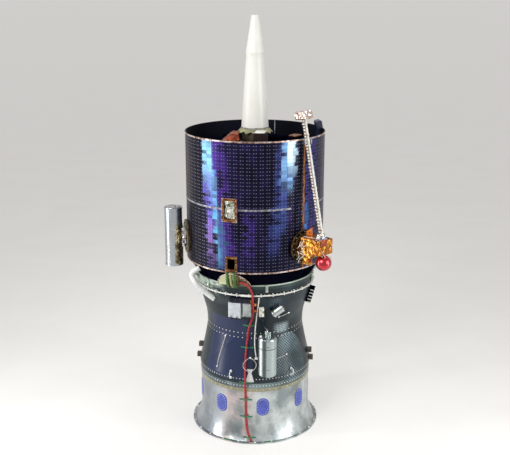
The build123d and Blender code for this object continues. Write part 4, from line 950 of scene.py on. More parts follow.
GLASS_FIBRE = Paint("glass_fibre", (0.62, 0.54, 0.34), 0.4, grain=0.3)
CANISTER = Paint("canister_dark", (0.020, 0.014, 0.008), 0.3, metal=0.5, mottle=0.3)
MAST_PLATE = Film("tip_plate_film", (0.30, 0.20, 0.07), (0.04, 0.025, 0.012), 0.3, 0.8, 30.0)
GREEN_TAPE = Paint("green_tape", (0.025, 0.23, 0.10), 0.4, mottle=0.3, patches=60.0)
SILVER_FILM = Film("silver_film", (0.86, 0.86, 0.88), (0.34, 0.33, 0.36), 0.22)
SENSOR_FILM = Film("sensor_film", (0.80, 0.78, 0.78), (0.60, 0.42, 0.34), 0.26, 0.8, 9.0, 0.14)
PINK_SILVER = Film("warm_silver_film", (0.84, 0.80, 0.78), (0.30, 0.14, 0.10), 0.2, depth=0.3)
WHITE_FILM = Film("white_film", (0.84, 0.84, 0.82), (0.50, 0.50, 0.52), 0.4, 0.3, 26.0, 0.6)
ORANGE_FILM = Film("orange_film", (0.83, 0.30, 0.05), (0.50, 0.12, 0.015), 0.3, 0.5)
GOLD_FILM = Film("gold_film", (0.68, 0.31, 0.05), (0.36, 0.12, 0.014), 0.28, 0.8, 14.0, 0.28)
POD_FILM = Film("pod_film", (0.80, 0.82, 0.72), (0.07, 0.08, 0.04), 0.34, 0.4, 30.0, 0.7)
DARK_GOLD = Film("dark_gold_film", (0.80, 0.72, 0.50), (0.16, 0.13, 0.08), 0.22, 0.9, 26.0, 0.6)
AMBER_FILM = Film("amber_film", (0.30, 0.115, 0.03), (0.11, 0.035, 0.01), 0.3, 0.7)
RED_BLANKET = Film("red_blanket", (0.46, 0.10, 0.025), (0.20, 0.03, 0.010), 0.36, 0.5, 24.0)


class Finishes:
    """Keeps one material for each finish."""

    made: dict[str, bpy.types.Material] = {}

    @classmethod
    def of(cls, finish: Finish) -> bpy.types.Material:
        """The material of a finish, built at its first use.

        Args:
            finish: The finish.

        Returns:
            Its material.
        """
        if finish.name not in cls.made:
            cls.made[finish.name] = finish.build()
        return cls.made[finish.name]


def paint_nodes(**coats: Finish) -> None:
    """Gives CAD nodes their finishes, in every material slot they have.

    Args:
        coats: The finish of each node, by the node's name.
    """
    for node, finish in coats.items():
        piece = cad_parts[node]
        material = Finishes.of(finish)
        if not piece.material_slots:
            piece.data.materials.append(material)
        for slot in piece.material_slots:
            slot.material = material
        LOG.info("painted %s with %s", node, finish.name)


# The bench: mesh tools


def clear_bench() -> None:
    """Deselects everything, so that the next tool acts on its own piece."""
    if bpy.context.object is not None and bpy.context.object.mode != "OBJECT":
        bpy.ops.object.mode_set(mode="OBJECT")
    bpy.ops.object.select_all(action="DESELECT")


def pick(piece: Mesh) -> None:
    """Makes one piece the only selected one, and the active one."""
    clear_bench()
    piece.select_set(True)
    bpy.context.view_layer.objects.active = piece


def start_piece(name: str, primitive: Callable[..., set], **settings: object) -> Mesh:
    """Adds one of Blender's primitives, to be shaped further.

    Args:
        name: Name of the piece.
        primitive: The operator that adds it.
        settings: Its size and place.

    Returns:
        The new piece.
    """
    clear_bench()
    primitive(**settings)
    piece = bpy.context.object
    piece.name = name
    return piece


@contextmanager
def editing(piece: Mesh, kind: str = "FACE") -> Iterator[bmesh.types.BMesh]:
    """Opens a piece in edit mode with nothing selected.

    Args:
        piece: The piece to edit.
        kind: VERT, EDGE or FACE.
    """
    pick(piece)
    bpy.ops.object.mode_set(mode="EDIT")
    bpy.ops.mesh.select_mode(type=kind)
    bpy.ops.mesh.select_all(action="DESELECT")
    yield bmesh.from_edit_mesh(piece.data)
    bpy.ops.object.mode_set(mode="OBJECT")


def select_faces(piece: Mesh, test: Callable[[bmesh.types.BMFace], bool]) -> None:
    """Selects, in edit mode, the faces that pass a test.

    Args:
        piece: The piece in edit mode.
        test: Whether a face is wanted.
    """
    mesh = bmesh.from_edit_mesh(piece.data)
    for face in mesh.faces:
        face.select_set(test(face))
    bmesh.update_edit_mesh(piece.data)


def weld(distance: float) -> None:
    """Merges, in edit mode, all points closer than a distance."""
    bpy.ops.mesh.select_all(action="SELECT")
    bpy.ops.mesh.remove_doubles(threshold=distance)


def spin_round(steps: int, gap: float) -> None:
    """Spins all that is being edited once round Z and closes the seam.

    Args:
        steps: Facets round it.
        gap: Points closer than this are merged.
    """
    bpy.ops.mesh.select_all(action="SELECT")
    bpy.ops.mesh.spin(steps=steps, angle=math.tau, center=(0, 0, 0), axis=(0, 0, 1))
    weld(gap)
    bpy.ops.mesh.normals_make_consistent(inside=False)


def settle(piece: Mesh) -> Mesh:
    """Moves a piece's place into its mesh."""
    pick(piece)
    bpy.ops.object.transform_apply(location=True, rotation=True, scale=True)
    return piece


def stand(piece: Mesh, at: Vector, turn: Matrix) -> Mesh:
    """Sets a piece that was made at the origin down at its place, and settles it there."""
    piece.matrix_world = Matrix.Translation(at) @ turn
    return settle(piece)


def modify(piece: Mesh, kind: str, **settings: object) -> Mesh:
    """Adds a modifier and applies it.

    Args:
        piece: The piece.
        kind: Blender's name of the modifier.
        settings: Attributes of the modifier.

    Returns:
        The same piece.
    """
    pick(piece)
    bpy.ops.object.modifier_add(type=kind)
    modifier = piece.modifiers[-1]
    for key, value in settings.items():
        setattr(modifier, key, value)
    bpy.ops.object.modifier_apply(modifier=modifier.name)
    return piece


def finish_piece(piece: Mesh, finish: Finish, body: str = CRAFT, angle: float = 30.0) -> Mesh:
    """Shades and paints a piece, and sets it on its body.

    Args:
        piece: The finished mesh.
        finish: What it is made of.
        body: The body that it rides on, or nothing to leave it on no body.
        angle: Faces that meet at less than this are shaded smooth.

    Returns:
        The same piece.
    """
    settle(piece)
    piece.data.materials.clear()
    piece.data.materials.append(Finishes.of(finish))
    bpy.ops.object.shade_smooth_by_angle(angle=math.radians(angle))
    if body:
        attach(piece, body)
    LOG.info("%s: %d faces, %s", piece.name, len(piece.data.polygons), finish.name)
    return piece


def join(pieces: Sequence[Mesh], name: str) -> Mesh:
    """Joins pieces into one, each settled first.

    Args:
        pieces: The pieces.
        name: Name of the result.

    Returns:
        The joined piece.
    """
    for piece in pieces:
        settle(piece)
    clear_bench()
    for piece in pieces:
        piece.select_set(True)
    bpy.context.view_layer.objects.active = pieces[0]
    if len(pieces) > 1:
        bpy.ops.object.join()
    joined = bpy.context.view_layer.objects.active
    joined.name = joined.data.name = name
    return joined


def block(name: str, at: Vector, turn: Matrix, size: Triple, edge: float = 0.002,
          inset: float = 0.0) -> Mesh:
    """A bevelled block, with a raised lid on its outer face if asked.

    Args:
        name: Name of the piece.
        at: Middle of the face that it stands on.
        turn: Its axes, with Z away from what carries it.
        size: Width, height and depth.
        edge: Width of the bevel.
        inset: Margin of the raised lid, or 0 for none.

    Returns:
        The block.
    """
    piece = start_piece(name, bpy.ops.mesh.primitive_cube_add, size=1.0, scale=size)
    settle(piece)
    if inset:
        with editing(piece):
            select_faces(piece, lambda face: face.normal.z > 0.9)
            bpy.ops.mesh.inset(thickness=inset, depth=0.0)
            bpy.ops.mesh.extrude_region_move(
                TRANSFORM_OT_translate={"value": (0, 0, inset * 0.3)})
    modify(piece, "BEVEL", width=edge, segments=2, limit_method="ANGLE")
    return stand(piece, at, turn @ Matrix.Translation(UP * size[2] / 2))


def stud(name: str, at: Vector, turn: Matrix, radius: float, height: float,
         sides: int = 6, socket: float = 0.0) -> Mesh:
    """A bolt head or round boss: a prism with a chamfer and, if asked, a socket.

    Args:
        name: Name of the piece.
        at: Middle of its foot.
        turn: Its axes, with Z away from what carries it.
        radius: Radius over its corners.
        height: Height above its foot.
        sides: Number of sides.
        socket: Depth of the recess in its top.

    Returns:
        The stud.
    """
    piece = start_piece(name, bpy.ops.mesh.primitive_cylinder_add, vertices=sides,
                        radius=radius, depth=height, location=(0, 0, height / 2))
    settle(piece)
    with editing(piece):
        select_faces(piece, lambda face: face.normal.z > 0.9)
        bpy.ops.mesh.inset(thickness=radius * 0.22, depth=height * 0.14)
        if socket:
            bpy.ops.mesh.inset(thickness=radius * 0.2, depth=0.0)
            bpy.ops.mesh.extrude_region_move(
                TRANSFORM_OT_translate={"value": (0, 0, -socket)})
    return stand(piece, at, turn)


def turned(name: str, at: Vector, turn: Matrix, line: Line, steps: int = 24) -> Mesh:
    """A piece turned on a lathe: a line of radius and height spun round Z.

    Args:
        name: Name of the piece.
        at: Place of the line's zero height.
        turn: Its axes, with Z along the spindle.
        line: Radius and height of each point, from the foot up.
        steps: Facets round it.

    Returns:
        The turned piece.
    """
    piece = start_piece(name, bpy.ops.mesh.primitive_plane_add, size=0.001)
    with editing(piece, "VERT") as mesh:
        bmesh.ops.delete(mesh, geom=list(mesh.verts), context="VERTS")
        points = [mesh.verts.new((radius, 0, height)) for radius, height in line]
        for pair in zip(points, points[1:]):
            mesh.edges.new(pair)
        bmesh.update_edit_mesh(piece.data)
        spin_round(steps, 0.00002)
    return stand(piece, at, turn)


def hoop(name: str, reach: float, height: float, radius: float, steps: int = 128) -> Mesh:
    """A round wire that runs once round the spin axis.

    Args:
        name: Name of the piece.
        reach: Radius of its circle.
        height: Its height.
        radius: Radius of the wire.
        steps: Facets round the circle.

    Returns:
        The hoop.
    """
    piece = start_piece(name, bpy.ops.mesh.primitive_circle_add, vertices=10, radius=radius,
                        location=(reach, 0, height), rotation=(math.pi / 2, 0, 0))
    settle(piece)
    with editing(piece, "VERT"):
        spin_round(steps, 0.00005)
    return piece


def rod(name: str, points: Sequence[Vector], radius: float, curved: bool = True,
        closed: bool = False) -> Mesh:
    """A round rod or wire through points, closed at its ends.

    Args:
        name: Name of the piece.
        points: Where its middle line passes.
        radius: Radius of the rod.
        curved: Whether it bends smoothly at its points.
        closed: Whether it runs back to its first point.

    Returns:
        The rod as a mesh.
    """
    clear_bench()
    curve = bpy.data.curves.new(name, "CURVE")
    curve.dimensions = "3D"
    curve.bevel_depth = radius
    curve.bevel_resolution = 2
    curve.resolution_u = 6
    curve.use_fill_caps = True
    spline = curve.splines.new("BEZIER" if curved else "POLY")
    spline.use_cyclic_u = closed
    knots = spline.bezier_points if curved else spline.points
    knots.add(len(points) - 1)
    for knot, point in zip(knots, points):
        if curved:
            knot.co = point
            knot.handle_left_type = knot.handle_right_type = "AUTO"
        else:
            knot.co = (*point, 1.0)
    piece = bpy.data.objects.new(name, curve)
    bpy.context.collection.objects.link(piece)
    pick(piece)
    bpy.ops.object.convert(target="MESH")
    return bpy.context.object


def sheet(name: str, cells: tuple[int, int], spot: Callable[[float, float], Vector],
          thickness: float, side: float = -1.0) -> Mesh:
    """A thin sheet, each point of whose grid is put where a function says.

    Args:
        name: Name of the piece.
        cells: Subdivisions across and up.
        spot: Place of a point by its share across and up, each from -0.5 to 0.5.
        thickness: Thickness of the sheet.
        side: 1 to thicken it along its normals and -1 against them.

    Returns:
        The sheet.
    """
    piece = start_piece(name, bpy.ops.mesh.primitive_grid_add, x_subdivisions=cells[0],
                        y_subdivisions=cells[1], size=1.0)
    with editing(piece, "VERT") as mesh:
        for vertex in mesh.verts:
            vertex.co = spot(vertex.co.x, vertex.co.y)
        bmesh.update_edit_mesh(piece.data)
    return modify(piece, "SOLIDIFY", thickness=thickness, offset=side)


def ring_of(piece: Mesh, count: int) -> Mesh:
    """Repeats a piece round the spin axis, from where it stands anticlockwise.

    Args:
        piece: The first of the row.
        count: Number of copies, itself among them.

    Returns:
        The row as one piece.
    """
    clear_bench()
    bpy.ops.object.empty_add(location=(0, 0, 0), rotation=(0, 0, math.tau / count))
    pivot = bpy.context.object
    modify(piece, "ARRAY", count=count, use_relative_offset=False, use_object_offset=True,
           offset_object=pivot)
    bpy.data.objects.remove(pivot)
    return piece


def crumple(piece: Mesh, wrap: Wrap, voxel: float, facets: float) -> Mesh:
    """Turns a plain form into one wrapped in creased film.

    Args:
        piece: The plain form.
        wrap: How tightly the film is wrapped.
        voxel: Size of the mesh's cells before it is thinned.
        facets: Share of the faces that stay, so that the creases are crisp.

    Returns:
        The same piece.
    """
    modify(piece, "REMESH", mode="VOXEL", voxel_size=voxel)
    modify(piece, "SMOOTH", factor=0.5, iterations=2)
    for kind, size, strength in (("CLOUDS", 0.07, 0.010), ("VORONOI", 0.035, 0.007)):
        texture = bpy.data.textures.new(f"{piece.name}_{kind.lower()}", kind)
        texture.noise_scale = size
        modify(piece, "DISPLACE", texture=texture, texture_coords="GLOBAL",
               strength=strength * wrap.value, mid_level=0.55)
    return modify(piece, "DECIMATE", ratio=facets)


def wrapped(node: str, name: str, finish: Film, body: str, wrap: Wrap = Wrap.LOOSE,
            voxel: float = 0.005, facets: float = 0.3) -> None:
    """Replaces a CAD node by the same form wrapped in crumpled film.

    Args:
        node: The CAD node that the film covers.
        name: Name of the new piece.
        finish: The film.
        body: The body that it rides on.
        wrap: How tightly the film is wrapped.
        voxel: Size of the mesh's cells before it is thinned.
        facets: Share of the faces that stay.
    """
    piece = bpy.data.objects.new(name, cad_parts[node].data.copy())
    bpy.context.collection.objects.link(piece)
    with editing(piece):
        weld(0.00002)
    finish_piece(crumple(piece, wrap, voxel, facets), finish, body, FILM_ANGLE)
    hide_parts(node)


def band_line(inner: float, outer: float, half: float) -> Line:
    """Outline of a plain ring or sleeve, half as high on each side of its middle."""
    return [(inner, -half), (outer, -half), (outer, half), (inner, half)]


def bead_line(inner: float, outer: float, crest: float, half: float, crown: float) -> Line:
    """Outline of a ring with a rounded crest: crown is half the height at its outer edge."""
    return [(inner, -half), (outer, -crown), (crest, 0.0), (outer, crown), (inner, half)]


@dataclass(frozen=True)
class BoltCircle:
    """Hexagon heads in a row round the spin axis."""

    name: str
    radius: float
    height: float
    count: int
    head: float = 0.006
    proud: float = 0.004
    first: float = 0.0
    tilt: float = 0.0
    upward: bool = False

    def build(self, finish: Finish = FASTENER) -> Mesh:
        """Makes the row.

        Args:
            finish: Finish of the heads.

        Returns:
            The row.
        """
        turn = UPRIGHT if self.upward else facing(self.first, self.tilt)
        piece = stud(self.name, place(self.first, self.radius, self.height), turn,
                     self.head, self.proud, socket=self.proud * 0.4)
        return finish_piece(ring_of(piece, self.count), finish)


@dataclass(frozen=True)
class Face:
    """A flat face on the craft, on which fittings are placed across, up and off it."""

    azimuth: float
    reach: float
    height: float
    tilt: float = 0.0

    @property
    def turn(self) -> Matrix:
        """Axes of the face: X across, Y up, Z off it."""
        return facing(self.azimuth, self.tilt)

    def at(self, across: float = 0.0, up: float = 0.0, off: float = 0.0) -> Vector:
        """Point by its place on the face."""
        return place(self.azimuth, self.reach, self.height) + self.turn @ Vector(
            (across, up, off))

    def block(self, name: str, spot: Triple, size: Triple, edge: float = 0.002,
              inset: float = 0.0) -> Mesh:
        """A block that stands on the face."""
        return block(name, self.at(*spot), self.turn, size, edge, inset)

    def turned(self, name: str, spot: Triple, line: Line, steps: int = 24) -> Mesh:
        """A turned piece that stands on the face."""
        return turned(name, self.at(*spot), self.turn, line, steps)

    def rod(self, name: str, spots: Sequence[Triple], radius: float) -> Mesh:
        """A bent rod through spots on and off the face."""
        return rod(name, [self.at(*spot) for spot in spots], radius)

    def studs(self, name: str, spots: Line, off: float, head: float = 0.004) -> Mesh:
        """Screw heads at spots on the face."""
        return join([stud(name, self.at(across, up, off), self.turn, head, head * 0.6,
                          12, head * 0.3) for across, up in spots], name)

    def border(self, name: str, size: tuple[float, float], border: float,
               thick: float) -> Mesh:
        """A flat rectangular frame on the face.

        Args:
            name: Name of the piece.
            size: Width and height.
            border: Width of its strips.
            thick: Thickness.

        Returns:
            The frame.
        """
        piece = start_piece(name, bpy.ops.mesh.primitive_plane_add, size=1.0)
        piece.scale = (*size, 1.0)
        settle(piece)
        with editing(piece):
            bpy.ops.mesh.select_all(action="SELECT")
            bpy.ops.mesh.inset(thickness=border, depth=0.0)
            bpy.ops.mesh.delete(type="FACE")
        modify(piece, "SOLIDIFY", thickness=thick, offset=1.0)
        modify(piece, "BEVEL", width=thick * 0.3, segments=1)
        return stand(piece, self.at(), self.turn)


def corners(width: float, height: float) -> list[tuple[float, float]]:
    """The four corners of a rectangle round the origin."""
    return [(x * width / 2, y * height / 2) for x in (-1, 1) for y in (-1, 1)]


# Sub-assemblies


@dataclass(frozen=True)
class SolarDrum:
    """The drum: cells, seams, trims, the thruster pod and the lower window."""

    pod: Face = Face(-20.2, 0.697, middle("pod_frame").z)
    window: Face = Face(-19.0, 0.697, middle("lower_window_frame").z)
    rim_screws: int = 96
    rim_margin: float = 0.007
    screw_head: float = 0.0035
    pod_rim: Span = (0.156, 0.230)
    pod_tape: Span = (0.116, 0.190)
    pod_screws_across: Span = (-0.068, 0.068)
    pod_screws_up: tuple[float, ...] = (-0.095, -0.048, 0.0, 0.048, 0.095)
    bell_rises: Span = (-0.045, 0.045)
    bell_depth: float = 0.004
    bell_line: Line = ((0.0, 0.0), (0.012, 0.0), (0.014, 0.006), (0.021, 0.016),
                       (0.0245, 0.0185), (0.0225, 0.0190), (0.010, 0.004), (0.0, 0.004))
    window_borders: tuple[tuple[str, Span, float], ...] = (
        ("window_rim", (0.122, 0.152), 0.004), ("window_inner_edge", (0.078, 0.108), 0.0025))
    window_screws: Span = (0.102, 0.132)
    border_thickness: float = 0.0012
    inner_reach: float = 0.6745
    inner_joint: Triple = (0.009, 0.162, 0.003)

    def build(self) -> None:
        """Dresses the drum."""
        cells = SolarCells()
        paint_nodes(solar_panel_front=cells, solar_panel_right=cells, solar_panel_rear=cells,
                    rim_trims=TRIM, middle_band=MID_TRIM, seam_strips=AMBER_FILM,
                    pod_frame=AMBER_FILM, lower_window_frame=AMBER_FILM)
        for name, height in (("rim_screws_low", DRUM_LOW + self.rim_margin),
                             ("rim_screws_high", DRUM_TOP - self.rim_margin)):
            BoltCircle(name, DRUM_RADIUS + 0.004, height, self.rim_screws, 0.0026,
                       0.0018).build()
        self.dress_pod()
        self.dress_window()
        self.line_inside()

    def dress_pod(self) -> None:
        """Puts the border of gold tape, the crumpled lining and the bells in the pod."""
        finish_piece(self.pod.border("pod_rim", self.pod_rim, 0.006, 0.0014), PINK_SILVER)
        finish_piece(self.pod.border("pod_tape_border", self.pod_tape, 0.004,
                                     self.border_thickness), GOLD_FILM)
        wrapped("pod_thrusters", "pod_lining", POD_FILM, CRAFT, Wrap.SLACK, 0.004, 0.35)
        for number, up in enumerate(self.bell_rises):
            finish_piece(self.pod.turned(f"thruster_bell_{number}", (0, up, -self.bell_depth),
                                         self.bell_line), STEEL)
        spots = [(across, up) for across in self.pod_screws_across
                 for up in self.pod_screws_up]
        finish_piece(self.pod.studs("pod_screws", spots, 0.0, self.screw_head), FASTENER)

    def dress_window(self) -> None:
        """Puts the tape borders and the screws on the lower window."""
        for name, size, border in self.window_borders:
            finish_piece(self.window.border(name, size, border, self.border_thickness),
                         MAST_PLATE)
        half = self.window_screws[0] / 2
        spots = corners(*self.window_screws) + [(-half, 0.0), (half, 0.0)]
        finish_piece(self.window.studs("window_screws", spots, 0.0, self.screw_head), FASTENER)

    def line_inside(self) -> None:
        """Puts the light joint strips on the inner face of the drum, over the deck."""
        middle_height = (DECK_TOP + DRUM_TOP) / 2
        strips = [Face(azimuth + 180, -self.inner_reach, middle_height).block(
            "inner_joint", (0, 0, 0), self.inner_joint, 0.001, 0.002)
            for azimuth in BOOM_AZIMUTHS.values()]
        finish_piece(join(strips, "inner_joint_strips"), MID_TRIM)


@dataclass(frozen=True)
class AntennaMast:
    """The white radome on its dark collar, with the olive skirt of sheet over the tabs."""

    bands: tuple[Span, ...] = ((0.0, 0.134), (0.649, 0.0865), (0.676, 0.0895))
    tabs: int = 12
    skirt_top: float = 0.1345
    skirt_reach: float = 0.1765
    skirt_notch: float = 0.027
    skirt_lift: float = 0.016
    skirt_depth: float = 0.045
    skirt_drop: float = 0.0235
    cap_line: Line = ((0.0, -0.001), (0.0372, -0.001), (0.0372, 0.003), (0.030, 0.006),
                      (0.0, 0.0065))

    def build(self) -> None:
        """Dresses the antenna."""
        paint_nodes(antenna_radome=RADOME, antenna_collar=COLLAR_DARK)
        foot, top = low("antenna_radome").z, high("antenna_radome").z
        for number, (share, radius) in enumerate(self.bands):
            band = turned(f"radome_band_{number}", UP * (foot + share * (top - foot)), UPRIGHT, [
                (radius - 0.004, 0.001), (radius + 0.0022, 0.001),
                (radius + 0.0022, 0.008), (radius - 0.004, 0.009)], 48)
            finish_piece(band, RADOME if number else MID_TRIM)
        self.add_skirt(foot)
        finish_piece(turned("radome_cap", UP * top, UPRIGHT, self.cap_line, 32), RADOME)
        BoltCircle("collar_screws", 0.128, 3.082, self.tabs * 2, 0.0035, 0.003, 7.5).build()
        BoltCircle("collar_foot_screws", 0.1285, DECK_TOP + 0.012, 16, 0.005).build()

    def add_skirt(self, foot: float) -> None:
        """Lays the sheet skirt over the collar's tabs, pointed at each tab.

        Args:
            foot: Height of the radome's foot.
        """
        skirt = start_piece("collar_skirt", bpy.ops.mesh.primitive_cone_add,
                            vertices=self.tabs * 8, radius1=self.skirt_reach,
                            radius2=self.skirt_top, depth=self.skirt_depth,
                            end_fill_type="NOTHING", location=UP * (foot - self.skirt_drop))
        with editing(skirt, "VERT") as mesh:
            for vertex in mesh.verts:
                if vertex.co.z < 0:
                    azimuth = math.degrees(math.atan2(vertex.co.x, -vertex.co.y))
                    off = abs((azimuth * self.tabs / 360 + 0.5) % 1.0 - 0.5) * 2
                    vertex.co = place(azimuth, self.skirt_reach - self.skirt_notch * off,
                                      vertex.co.z + self.skirt_lift * off)
            bmesh.update_edit_mesh(skirt.data)
        modify(skirt, "SOLIDIFY", thickness=0.0012, offset=1.0)
        finish_piece(skirt, COLLAR_OLIVE, angle=20.0)


@dataclass(frozen=True)
class UpperDeck:
    """What stands on the deck inside the drum's rim."""

    box_turn: float = -10.5
    lid: Triple = (0.100, 0.145, 0.004)
    lid_screws: Span = (0.088, 0.133)
    pad_azimuth: float = 57.0
    pad: Triple = (0.116, 0.086, 0.012)
    sensor: Face = Face(100.0, 0.670, DRUM_TOP + 0.040, -12.0)
    sensor_screws: Span = (0.080, 0.044)
    lens_line: Line = ((0.0, 0.0), (0.020, 0.0), (0.020, 0.004), (0.015, 0.006),
                       (0.013, 0.003), (0.0, 0.005))
    harness: tuple[tuple[Span, ...], ...] = (
        ((-10.5, 0.200), (20.0, 0.190), (57.0, 0.300), (57.0, 0.400)),
        ((140.0, 0.250), (150.0, 0.180), (190.0, 0.190), (215.0, 0.265)),
        ((112.0, 0.600), (120.0, 0.520), (132.0, 0.420)))
    harness_radius: float = 0.008

    def build(self) -> None:
        """Dresses the deck, its boxes, the blanket and the sun sensor."""
        # The rear boxes are painted black as painted shade: the space beside the collar is dark.
        paint_nodes(equipment_deck=BLACK, base_deck=BLACK, deck_box=DARK_MAROON,
                    rear_boxes=BLACK, rim_sensor=SENSOR_NAVY, boom_latch=STEEL)
        self.add_lid()
        wrapped("blanket_tent", "blanket_tent_film", RED_BLANKET, CRAFT, Wrap.SLACK, 0.008,
                0.22)
        pad = block("brown_film_pad", place(self.pad_azimuth, 0.460, 3.050),
                    facing(self.pad_azimuth, -90.0), self.pad, 0.004)
        finish_piece(crumple(pad, Wrap.TAUT, 0.004, 0.4), AMBER_FILM, angle=FILM_ANGLE)
        finish_piece(self.sensor.turned("sun_sensor_lens", (0, 0, 0), self.lens_line),
                     LENS_GLASS)
        screws = self.sensor.studs("sun_sensor_screws", corners(*self.sensor_screws), -0.001)
        finish_piece(screws, RADOME)
        cords = [rod("deck_run", [place(azimuth, reach, DECK_TOP + 0.010)
                                  for azimuth, reach in run], self.harness_radius)
                 for run in self.harness]
        finish_piece(join(cords, "deck_harness"), WHITE_SLEEVE)

    def add_lid(self) -> None:
        """Lays the white lid with its screws on the deck box."""
        centre = middle("deck_box")
        centre.z = high("deck_box").z
        turn = Matrix.Rotation(math.radians(self.box_turn), 4, "Z")
        finish_piece(block("deck_box_lid", centre, turn, self.lid, 0.0015, 0.008), RADOME)
        screws = [stud("lid_screw", centre + turn @ Vector((x, y, self.lid[2])), turn, 0.0035,
                       0.0025, 12) for x, y in corners(*self.lid_screws)]
        finish_piece(join(screws, "deck_box_screws"), FASTENER)


@dataclass(frozen=True)
class BoomMast:
    """A canister with its mast of three longerons, packed to its stowed length; the real mast
    stretches as the tip runs out.
    """

    letter: str
    back: float = 0.3555
    plate: float = 0.694
    stroke: float = 2.5
    bays: int = 14
    pitch_radius: float = 0.106
    longeron: float = 0.004
    mouth_reach: float = 0.706
    mouth_screws: int = 16
    screw_circle: float = 0.149
    mouth_line: Line = ((0.1650, -0.0165), (0.1668, -0.0165), (0.1672, -0.001),
                        (0.1655, 0.0008), (0.1630, 0.0008), (0.1630, -0.0005))
    plate_line: Line = ((0.0, 0.0), (0.129, 0.0), (0.129, 0.009), (0.126, 0.012),
                        (0.100, 0.012), (0.097, 0.009), (0.060, 0.009), (0.057, 0.012),
                        (0.0, 0.012))

    @property
    def azimuth(self) -> float:
        """Direction in which the mast runs out."""
        return BOOM_AZIMUTHS[self.letter]

    def stowed(self, run: float) -> float:
        """Where a point of the lattice lies when the mast is stowed.

        Args:
            run: Its distance along the mast when that is out.
        """
        rest = self.plate - self.back
        lower, upper = 0.0, 1.0
        for _ in range(40):
            share = (lower + upper) / 2
            eased = share * share * (3 - 2 * share)
            if share * rest + eased * self.stroke < run:
                lower = share
            else:
                upper = share
        return self.back + lower * rest

    def build(self) -> None:
        """Dresses the canister and makes the lattice and the tip plate."""
        mast = f"mast_{self.letter}"
        paint_nodes(**{f"canister_{self.letter}": CANISTER})
        turn = facing(self.azimuth)
        mouth = place(self.azimuth, self.mouth_reach, BOOM_HEIGHT)
        finish_piece(turned(f"mouth_edge_{self.letter}", mouth, turn, self.mouth_line, 64),
                     MAST_PLATE)
        spots = [circle_spot(self.screw_circle, number * 360 / self.mouth_screws)
                 for number in range(self.mouth_screws)]
        screws = [stud("mouth_screw", mouth + turn @ Vector((x, y, 0)), turn, 0.0042, 0.003)
                  for x, y in spots]
        finish_piece(join(screws, f"mouth_screws_{self.letter}"), FASTENER)
        plate = turned(f"tip_plate_{self.letter}", place(self.azimuth, self.plate, BOOM_HEIGHT),
                       turn, self.plate_line, 64)
        finish_piece(plate, MAST_PLATE, f"mast_{self.letter}_tip")
        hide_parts(mast)
        lattice = self.lattice()
        place(self.azimuth, self.back, BOOM_HEIGHT)
        place(self.azimuth, self.plate, BOOM_HEIGHT)
        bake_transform(lattice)
        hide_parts(mast)

    def lattice(self) -> Mesh:
        """Longerons, battens and bracing at full length, then packed to the stowed one."""
        length = self.plate - self.back + self.stroke
        bay = length / self.bays
        corner = [Vector((*circle_spot(self.pitch_radius, degrees), 0.0))
                  for degrees in (90, 210, 330)]
        rods = []
        for number, spot in enumerate(corner):
            following = corner[(number + 1) % 3]
            steps = self.bays * 2
            line = [spot + UP * length * step / steps for step in range(steps + 1)]
            rods.append(rod("longeron", line, self.longeron, curved=False))
            for count in range(self.bays + 1):
                level = UP * min(max(count * bay, self.longeron), length - self.longeron)
                rods.append(rod("batten", [spot + level, following + level],
                                self.longeron * 0.75, curved=False))
                if count < self.bays:
                    start, end = ((spot, following), (following, spot))[count % 2]
                    rods.append(rod("brace", [start + level, end + UP * (count + 1) * bay],
                                    self.longeron * 0.3, curved=False))
        lattice = join(rods, f"mast_lattice_{self.letter}")
        for vertex in lattice.data.vertices:
            vertex.co.z = self.stowed(min(max(vertex.co.z, 0.0), length))
        lattice.matrix_world = Matrix.Translation(UP * BOOM_HEIGHT) @ facing(self.azimuth)
        return finish_piece(lattice, GLASS_FIBRE, "", 40.0)


